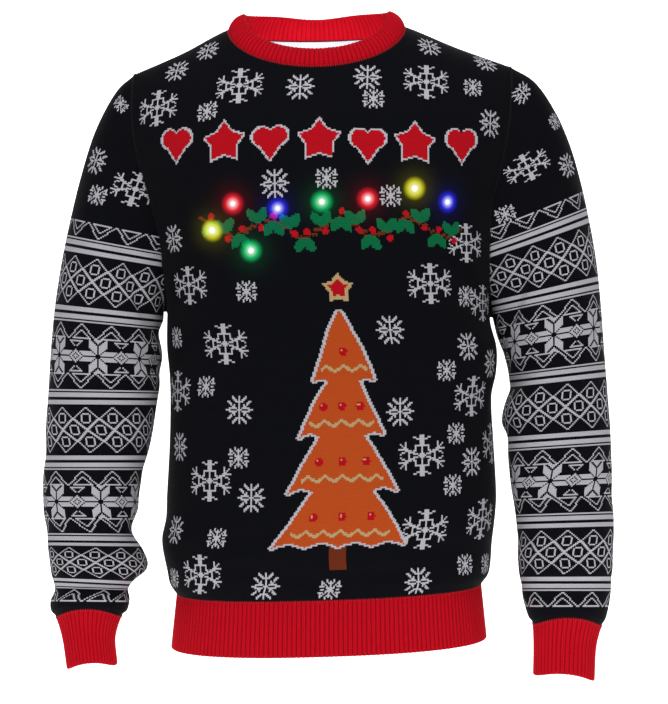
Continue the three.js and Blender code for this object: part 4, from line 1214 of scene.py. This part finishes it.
def rib_band(name, rows, ribs, closed):
    """A ribbed wall from its seam to its free edge, ribs on both faces, and a rounded free edge."""
    chain = rows[0][0]
    around = np.concatenate([chain, chain[:1]]) if closed else chain
    lengths = lengths_along(around)
    count = ribs * RIB["steps"]
    target = lengths[-1] * np.arange(count if closed else count + 1) / count
    spread = np.interp(target, lengths, np.arange(len(lengths)))

    def resample(values):
        looped = np.concatenate([values, values[:1]]) if closed else values
        return read_at(spread, np.arange(len(looped)), looped)

    faces = [(resample(points), unit(resample(outs))) for points, outs in rows]
    phase = 0.5 - 0.5 * np.cos(2 * math.pi * np.arange(len(target)) / RIB["steps"])
    crest = (RIB["valley"] + (RIB["peak"] - RIB["valley"]) * phase ** 0.8)[:, None]
    trough = (RIB_WALL - RIB["inside"] * phase)[:, None]
    profile = [points + outs * crest for points, outs in faces]
    points, outs = faces[-1]
    way = unit(points - faces[-2][0])
    half = (crest + trough) / 2
    middle = points + outs * (crest - half)
    for turn in (0.25, 0.5, 0.75):
        angle = math.pi * turn
        profile.append(middle + outs * half * math.cos(angle) + way * half * 0.8 * math.sin(angle))
    profile.extend(points - outs * trough for points, outs in reversed(faces))
    grid = np.stack(profile, 1)
    columns, around_wall = grid.shape[:2]
    index = np.arange(columns * around_wall).reshape(columns, around_wall)
    rise = lengths_along(grid[0]) / COURSE
    polygons, uvs = [], []
    for c in range(columns if closed else columns - 1):
        d = (c + 1) % columns
        for k in range(around_wall):
            n = (k + 1) % around_wall
            polygons.append([int(index[c, k]), int(index[d, k]), int(index[d, n]), int(index[c, n])])
            a, b = c / RIB["steps"], (c + 1) / RIB["steps"]
            low, high = rise[k], rise[k + 1] if n else rise[k] + 1
            uvs.extend([(a, low), (b, low), (b, high), (a, high)])
    if not closed:
        last = len(rows) - 1
        for c, flip in ((0, False), (columns - 1, True)):
            for k in range(last):
                far = around_wall - 1 - k
                ring = [index[c, k], index[c, k + 1], index[c, far - 1], index[c, far]]
                polygons.append([int(v) for v in (reversed(ring) if flip else ring)])
            ring = [index[c, k] for k in range(last, last + 5)]
            polygons.append([int(v) for v in (reversed(ring) if flip else ring)])
        uvs.extend([(0, 0)] * (sum(len(p) for p in polygons) - len(uvs)))
    return cloth_piece(name, grid.reshape(-1, 3), polygons, np.array(uvs, dtype=float), red_rib, sharp=70)[0]


def neck_chain(net):
    """The neckline of a panel: its points, the way out of the cloth and the way over to the collar."""
    keep = slice(NET["shoulder"], net["points"].shape[1] - NET["shoulder"])
    points, outs = net["points"][-1, keep], net["outs"][-1, keep]
    ups = unit(np.cross(outs, unit(np.gradient(points, axis=0))))
    return points, outs, np.where(ups[:, 2:] < 0, -ups, ups)


front_neck, back_neck = neck_chain(nets["front"]), neck_chain(nets["back"])
seam = np.concatenate([front_neck[0], back_neck[0][-2:0:-1]])
seam_outs = np.concatenate([front_neck[1], back_neck[1][-2:0:-1]])
middle = np.array([(NECK["right"] + NECK["left"]) / 2, COLLAR["middle"], 0])
inward = unit((middle - seam) * (1, 1, 0))
turn = np.arctan2(np.abs(inward[:, 0]), inward[:, 1])
lean = np.radians(COLLAR["mean"] + COLLAR["turn"] * np.cos(turn) + COLLAR["double"] * np.cos(2 * turn))
rise = inward * np.sin(lean)[:, None] + np.array([0, 0, 1]) * np.cos(lean)[:, None]
lift = COLLAR["taller"] * np.cos(turn) + np.where(inward[:, 1] < 0, COLLAR["lift"] * np.sin(2 * turn) ** 2, 0)
top = seam + rise * (COLLAR["height"] + lift)[:, None]
around_top = np.roll(top, -1, axis=0) - np.roll(top, 1, axis=0)
top_outs = unit(np.cross(around_top, rise))
top_outs *= np.sign(((top - middle) * top_outs * (1, 1, 0)).sum(-1))[:, None]
between = (seam + top) / 2 + top_outs * COLLAR["bulge"]
collar_rows = []
for t in np.linspace(0, 1, 9):
    points = seam * (1 - t) * (1 - 2 * t) + between * 4 * t * (1 - t) + top * t * (2 * t - 1)
    collar_rows.append((points, unit(mix(seam_outs, top_outs, min(1, 2 * t)))))
collar = rib_band("collar", collar_rows, RIBS["collar"], True)
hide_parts("collar_rib")

# Hem rib
# A front and a back half of the same red rib, linked to the panels, that draw the hem in a little.

HEM = {"height": 57.5, "flare": 6}
for face in ("front", "back"):
    points = nets[face]["points"][0]
    outs = nets[face]["outs"][0]
    rows = [(points + outs * HEM["flare"] * t - np.array([0, 0, HEM["height"] * t]), outs)
            for t in np.linspace(0, 1, 13)]
    hem = rib_band("hem_" + face, rows, RIBS["hem"], False)
    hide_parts("hem_rib_" + face)

# Cuffs
# A tube of the red rib at the end of each sleeve, under the band of plain knit that falls over it.

for name in ("right", "left"):
    turn = 2 * math.pi * np.arange(160) / 160
    rows = []
    for at in np.linspace(CUFF_AT, 20, 13):
        points = sleeve_point(name, np.full(turn.shape, at), turn)
        along = (np.roll(points, -1, axis=0) - np.roll(points, 1, axis=0)) * (1, 1, 0)
        outs = unit(np.cross(along, (0, 0, 1)))
        outs *= np.sign(((points - points.mean(0)) * outs * (1, 1, 0)).sum(-1))[:, None]
        rows.append((points, outs))
    cuff = rib_band("wrist_rib_" + name, rows, RIBS["cuff"], True)
    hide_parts("cuff_" + name)

# Neck tape
# A strip of white woven tape, sewn over the seam inside the back neck.

WEAVE = 0.0009


def tape_material():
    material, tree, shader = dressed("white tape", {"Roughness": 0.85})
    place = knot(tree, "ShaderNodeTexCoord").outputs["Object"]
    wave = knot(tree, "ShaderNodeTexWave", bands_direction="DIAGONAL")
    feed(tree, wave, {"Scale": 0.3 / WEAVE, "Vector": place})
    shades = blend(tree, wave.outputs["Fac"], linear(208, 204, 218), linear(232, 229, 240))
    feed(tree, shader, {"Base Color": shades})
    return material


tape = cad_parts["neck_tape"]
tape.data.materials.clear()
tape.data.materials.append(tape_material())

# Lamps
# Eight small lamps, each a clear domed lens over a lit core, pushed through the knit from inside.

LAMP = {"radius": 3.2, "height": 4.2, "rings": 8, "around": 24}


def lamp_material(slot):
    colour = LAMP_LIGHT[slot] + (1.0,)
    surface = {"Base Color": colour, "Roughness": 0.18, "Coat Weight": 0.6, "Emission Strength": 1.1}
    material, tree, shader = dressed(slot.replace("_", " "), surface)
    place = knot(tree, "ShaderNodeTexCoord").outputs["Object"]
    grain = feed(tree, knot(tree, "ShaderNodeTexNoise"), {"Scale": 900, "Vector": place})
    turned = feed(tree, knot(tree, "ShaderNodeLayerWeight"), {"Blend": 0.5})
    core = sums(tree, "SUBTRACT", 1.15, sums(tree, "MULTIPLY", turned.outputs["Facing"], 0.75))
    core = sums(tree, "SUBTRACT", core, sums(tree, "MULTIPLY", grain.outputs[0], 0.15))
    feed(tree, shader, {"Emission Color": blend(tree, core, colour, (1.0, 1.0, 1.0, 1.0))})
    return material


lamp_materials = {slot: lamp_material(slot) for slot in LAMP_LIGHT}
for number, colour in enumerate(LAMP_SLOTS, 1):
    centre = lamp_places[number - 1][0]
    net = nets["front"]
    nearest = np.unravel_index(np.linalg.norm(net["points"] - centre, axis=-1).argmin(), net["wale"].shape)
    out = Vector(net["outs"][nearest])
    turn = out.to_track_quat("Z", "Y")
    foot = Vector(centre) - out * (LAMP["height"] / 2 + 0.3)
    ring_turn = np.linspace(0, math.pi / 2, LAMP["rings"] + 1)[:-1]
    local = [(0.0, 0.0, 0.0)]
    for tilt in ring_turn:
        for k in range(LAMP["around"]):
            way = 2 * math.pi * k / LAMP["around"]
            local.append((LAMP["radius"] * math.cos(tilt) * math.cos(way),
                          LAMP["radius"] * math.cos(tilt) * math.sin(way), LAMP["height"] * math.sin(tilt)))
    local.append((0.0, 0.0, LAMP["height"]))
    polygons = []
    for k in range(LAMP["around"]):
        n = (k + 1) % LAMP["around"]
        polygons.append([0, 1 + n, 1 + k])
        for ring in range(LAMP["rings"] - 1):
            a, b = 1 + ring * LAMP["around"], 1 + (ring + 1) * LAMP["around"]
            polygons.append([a + k, a + n, b + n, b + k])
        top_ring = 1 + (LAMP["rings"] - 1) * LAMP["around"]
        polygons.append([top_ring + k, top_ring + n, len(local) - 1])
    points = np.array([foot + turn @ Vector(p) for p in local])
    uvs = np.zeros((sum(len(p) for p in polygons), 2))
    slot = "lamp_" + colour
    lens, _ = cloth_piece("lens_%d" % number, points, polygons, uvs, lamp_materials[slot], sharp=60)
    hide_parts("led_%d" % number)

# Linking stitches
# Short loops of yarn that join the pieces: red at the ribs, near-black at armholes and shoulders.

UP, BACKWARDS = (0.0, 0.0, 1.0), (0.0, 1.0, 0.0)
LINK = {"spacing": 2.6, "length": 3.4, "width": 1.1, "proud": 0.35}


def linking_tree():
    """Loops of yarn on the points of a path, along its attributes for the way across and the way out."""
    tree = bpy.data.node_groups.new("linking stitches", "GeometryNodeTree")
    face = tree.interface
    face.new_socket("Path", in_out="INPUT", socket_type="NodeSocketGeometry")
    face.new_socket("Length", in_out="INPUT", socket_type="NodeSocketFloat")
    face.new_socket("Width", in_out="INPUT", socket_type="NodeSocketFloat")
    face.new_socket("Yarn", in_out="INPUT", socket_type="NodeSocketMaterial")
    face.new_socket("Stitches", in_out="OUTPUT", socket_type="NodeSocketGeometry")
    start, end = knot(tree, "NodeGroupInput"), knot(tree, "NodeGroupOutput")
    path, length, width, yarn = (start.outputs[label] for label in ("Path", "Length", "Width", "Yarn"))
    bead = feed(tree, knot(tree, "GeometryNodeMeshIcoSphere"), {"Subdivisions": 2, "Radius": 0.5})
    size = feed(tree, knot(tree, "ShaderNodeCombineXYZ"), {"X": length, "Y": width, "Z": width})
    ways = {}
    for label in ("across", "out"):
        way = knot(tree, "GeometryNodeInputNamedAttribute", data_type="FLOAT_VECTOR")
        ways[label] = feed(tree, way, {"Name": label}).outputs["Attribute"]
    turn = knot(tree, "FunctionNodeAxesToRotation", primary_axis="Z", secondary_axis="X")
    feed(tree, turn, {"Primary Axis": ways["out"], "Secondary Axis": ways["across"]})
    place = feed(tree, knot(tree, "GeometryNodeInstanceOnPoints"), {
        "Points": path, "Instance": bead.outputs["Mesh"],
        "Rotation": turn.outputs["Rotation"], "Scale": size.outputs["Vector"]})
    real = feed(tree, knot(tree, "GeometryNodeRealizeInstances"), {"Geometry": place.outputs["Instances"]})
    dye = knot(tree, "GeometryNodeSetMaterial")
    feed(tree, dye, {"Geometry": real.outputs["Geometry"], "Material": yarn})
    feed(tree, end, {"Stitches": dye.outputs["Geometry"]})
    return tree


link_tree = linking_tree()


def yarn_material(name, colour):
    """Twisted yarn, striped along the loop."""
    material, tree, shader = dressed(name, {"Roughness": 0.9})
    place = knot(tree, "ShaderNodeTexCoord").outputs["Object"]
    noise = feed(tree, knot(tree, "ShaderNodeTexNoise"), {"Scale": 1400, "Vector": place})
    dark = tuple(0.7 * c for c in colour[:3]) + (1.0,)
    feed(tree, shader, {"Base Color": blend(tree, noise.outputs[0], dark, colour)})
    return material


def link_stitches(name, paths, yarn):
    """One piece of linking stitches along paths of (points, ways out, ways across or one for all)."""
    places, outs, across = [], [], []
    for points, out, over in paths:
        lengths = lengths_along(points)
        target = np.arange(LINK["spacing"] / 2, lengths[-1], LINK["spacing"])
        for values, found in ((points, places), (out, outs), (np.broadcast_to(over, points.shape), across)):
            found.append(read_at(target, lengths, values))
    places, outs, across = np.concatenate(places), unit(np.concatenate(outs)), unit(np.concatenate(across))
    places = places + outs * LINK["proud"] * 0.5
    mesh = bpy.data.meshes.new(name)
    mesh.from_pydata((places * MM).tolist(), [], [])
    for label, values in (("out", outs), ("across", across)):
        layer = mesh.attributes.new(label, "FLOAT_VECTOR", "POINT")
        layer.data.foreach_set("vector", values.astype(np.float32).ravel())
    maker = stood(name + "_path", mesh)
    work = maker.modifiers.new("links", "NODES")
    work.node_group = link_tree
    sockets = link_tree.interface.items_tree
    inputs = {item.name: item.identifier for item in sockets if item.in_out == "INPUT"}
    work[inputs["Length"]] = LINK["length"] * MM
    work[inputs["Width"]] = LINK["width"] * MM
    work[inputs["Yarn"]] = yarn
    made = bpy.data.meshes.new_from_object(maker.evaluated_get(bpy.context.evaluated_depsgraph_get()))
    bpy.data.objects.remove(maker)
    made.name = name
    made.shade_smooth()
    piece = stood(name, made)
    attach(piece, "root")


red_yarn = yarn_material("red linking yarn", linear(188, 12, 28))
black_yarn = yarn_material("dark linking yarn", linear(15, 16, 21))
ring_end = lambda values: np.concatenate([values, values[:1]])
seam_ups = np.concatenate([front_neck[2], back_neck[2][-2:0:-1]])
red_paths = [(ring_end(seam), ring_end(seam_outs), ring_end(seam_ups))]
for net in (nets["front"], nets["back"], sleeve_nets["right"], sleeve_nets["left"]):
    red_paths.append((net["points"][0], net["outs"][0], UP))
dark_paths = []
for name in ("right", "left"):
    loop, out = sleeve_nets[name]["points"][-1], sleeve_nets[name]["outs"][-1]
    dark_paths.append((loop, out, np.cross(out, np.gradient(loop, axis=0))))
for part in (slice(0, NET["shoulder"] + 1), slice(-NET["shoulder"] - 1, None)):
    dark_paths.append((nets["front"]["points"][-1, part], nets["front"]["outs"][-1, part], BACKWARDS))
link_stitches("red_linking", red_paths, red_yarn)
link_stitches("dark_linking", dark_paths, black_yarn)

# Floor
# A pale paper sweep that runs under the garment and up behind it.

SWEEP = {"floor": -0.80, "near": -0.5, "bend": 3.4, "radius": 0.9, "half": 4.5, "top": 4.5}
profile = [(SWEEP["near"], SWEEP["floor"])]
for step in range(13):
    turn = math.pi / 2 * step / 12
    profile.append((SWEEP["bend"] + SWEEP["radius"] * math.sin(turn),
                    SWEEP["floor"] + SWEEP["radius"] * (1 - math.cos(turn))))
profile.append((SWEEP["bend"] + SWEEP["radius"], SWEEP["top"]))
vertices = [(side * SWEEP["half"], y, z) for y, z in profile for side in (-1, 1)]
quads = [(2 * k, 2 * k + 1, 2 * k + 3, 2 * k + 2) for k in range(len(profile) - 1)]
sweep_mesh = bpy.data.meshes.new("paper_sweep")
sweep_mesh.from_pydata(vertices, [], quads)
sweep_mesh.shade_smooth()
paper, _, _ = dressed("paper", {"Base Color": (0.93, 0.93, 0.93, 1), "Roughness": 0.9,
                                "Emission Color": (1, 1, 1, 1), "Emission Strength": 0.95})
sweep_mesh.materials.append(paper)
sweep = stood("paper_sweep", sweep_mesh)

# Light
# A large soft lamp on each side of the camera, one above, one behind, a small one that lights the inside of
# the neck, and pale light all round.

world = bpy.data.worlds.new("studio")
world.use_nodes = True
feed(world.node_tree, world.node_tree.nodes["Background"], {"Color": (1, 1, 1, 1), "Strength": 0.14})
bpy.context.scene.world = world
MIDDLE = (0.0, 0.0, -0.33)
SOFT_LAMPS = {
    "key": {"place": (-1.3, -2.7, 0.45), "size": 1.2, "power": 20, "aim": MIDDLE},
    "fill": {"place": (1.5, -2.5, 0.3), "size": 1.2, "power": 14, "aim": MIDDLE},
    "above": {"place": (0.0, -1.1, 1.2), "size": 1.2, "power": 18, "aim": (0.0, 0.0, 0.0)},
    "back": {"place": (0.6, 2.0, 0.8), "size": 1.4, "power": 9, "aim": MIDDLE},
    "neck": {"place": (-0.006, -0.03, -0.1), "size": 0.08, "power": 0.22, "aim": (-0.006, 0.06, 0.01)},
}


def aimed(name, data, row):
    """A lamp or a camera that looks from its place at its aim."""
    thing = stood(name, data)
    thing.location = row["place"]
    sight = Vector(row["aim"]) - Vector(row["place"])
    thing.rotation_euler = sight.to_track_quat("-Z", "Y").to_euler()
    return thing


for name, row in SOFT_LAMPS.items():
    lamp = bpy.data.lights.new(name, "AREA")
    lamp.shape = "DISK"
    lamp.size = row["size"]
    lamp.energy = row["power"]
    aimed(name, lamp, row)

# Camera
# Level with the chest and far back, as in a catalogue photograph.

PHOTO_HEIGHT = 0.7674
CAMERA = {"place": (0.005, -2.9, -0.233), "aim": (0.01308, 0.0, -0.3455), "sensor": 36}
camera_data = bpy.data.cameras.new("camera")
camera_data.sensor_width = CAMERA["sensor"]
camera_data.lens = CAMERA["sensor"] * -CAMERA["place"][1] / PHOTO_HEIGHT
bpy.context.scene.camera = aimed("camera", camera_data, CAMERA)
bpy.context.scene.view_settings.view_transform = "Standard"
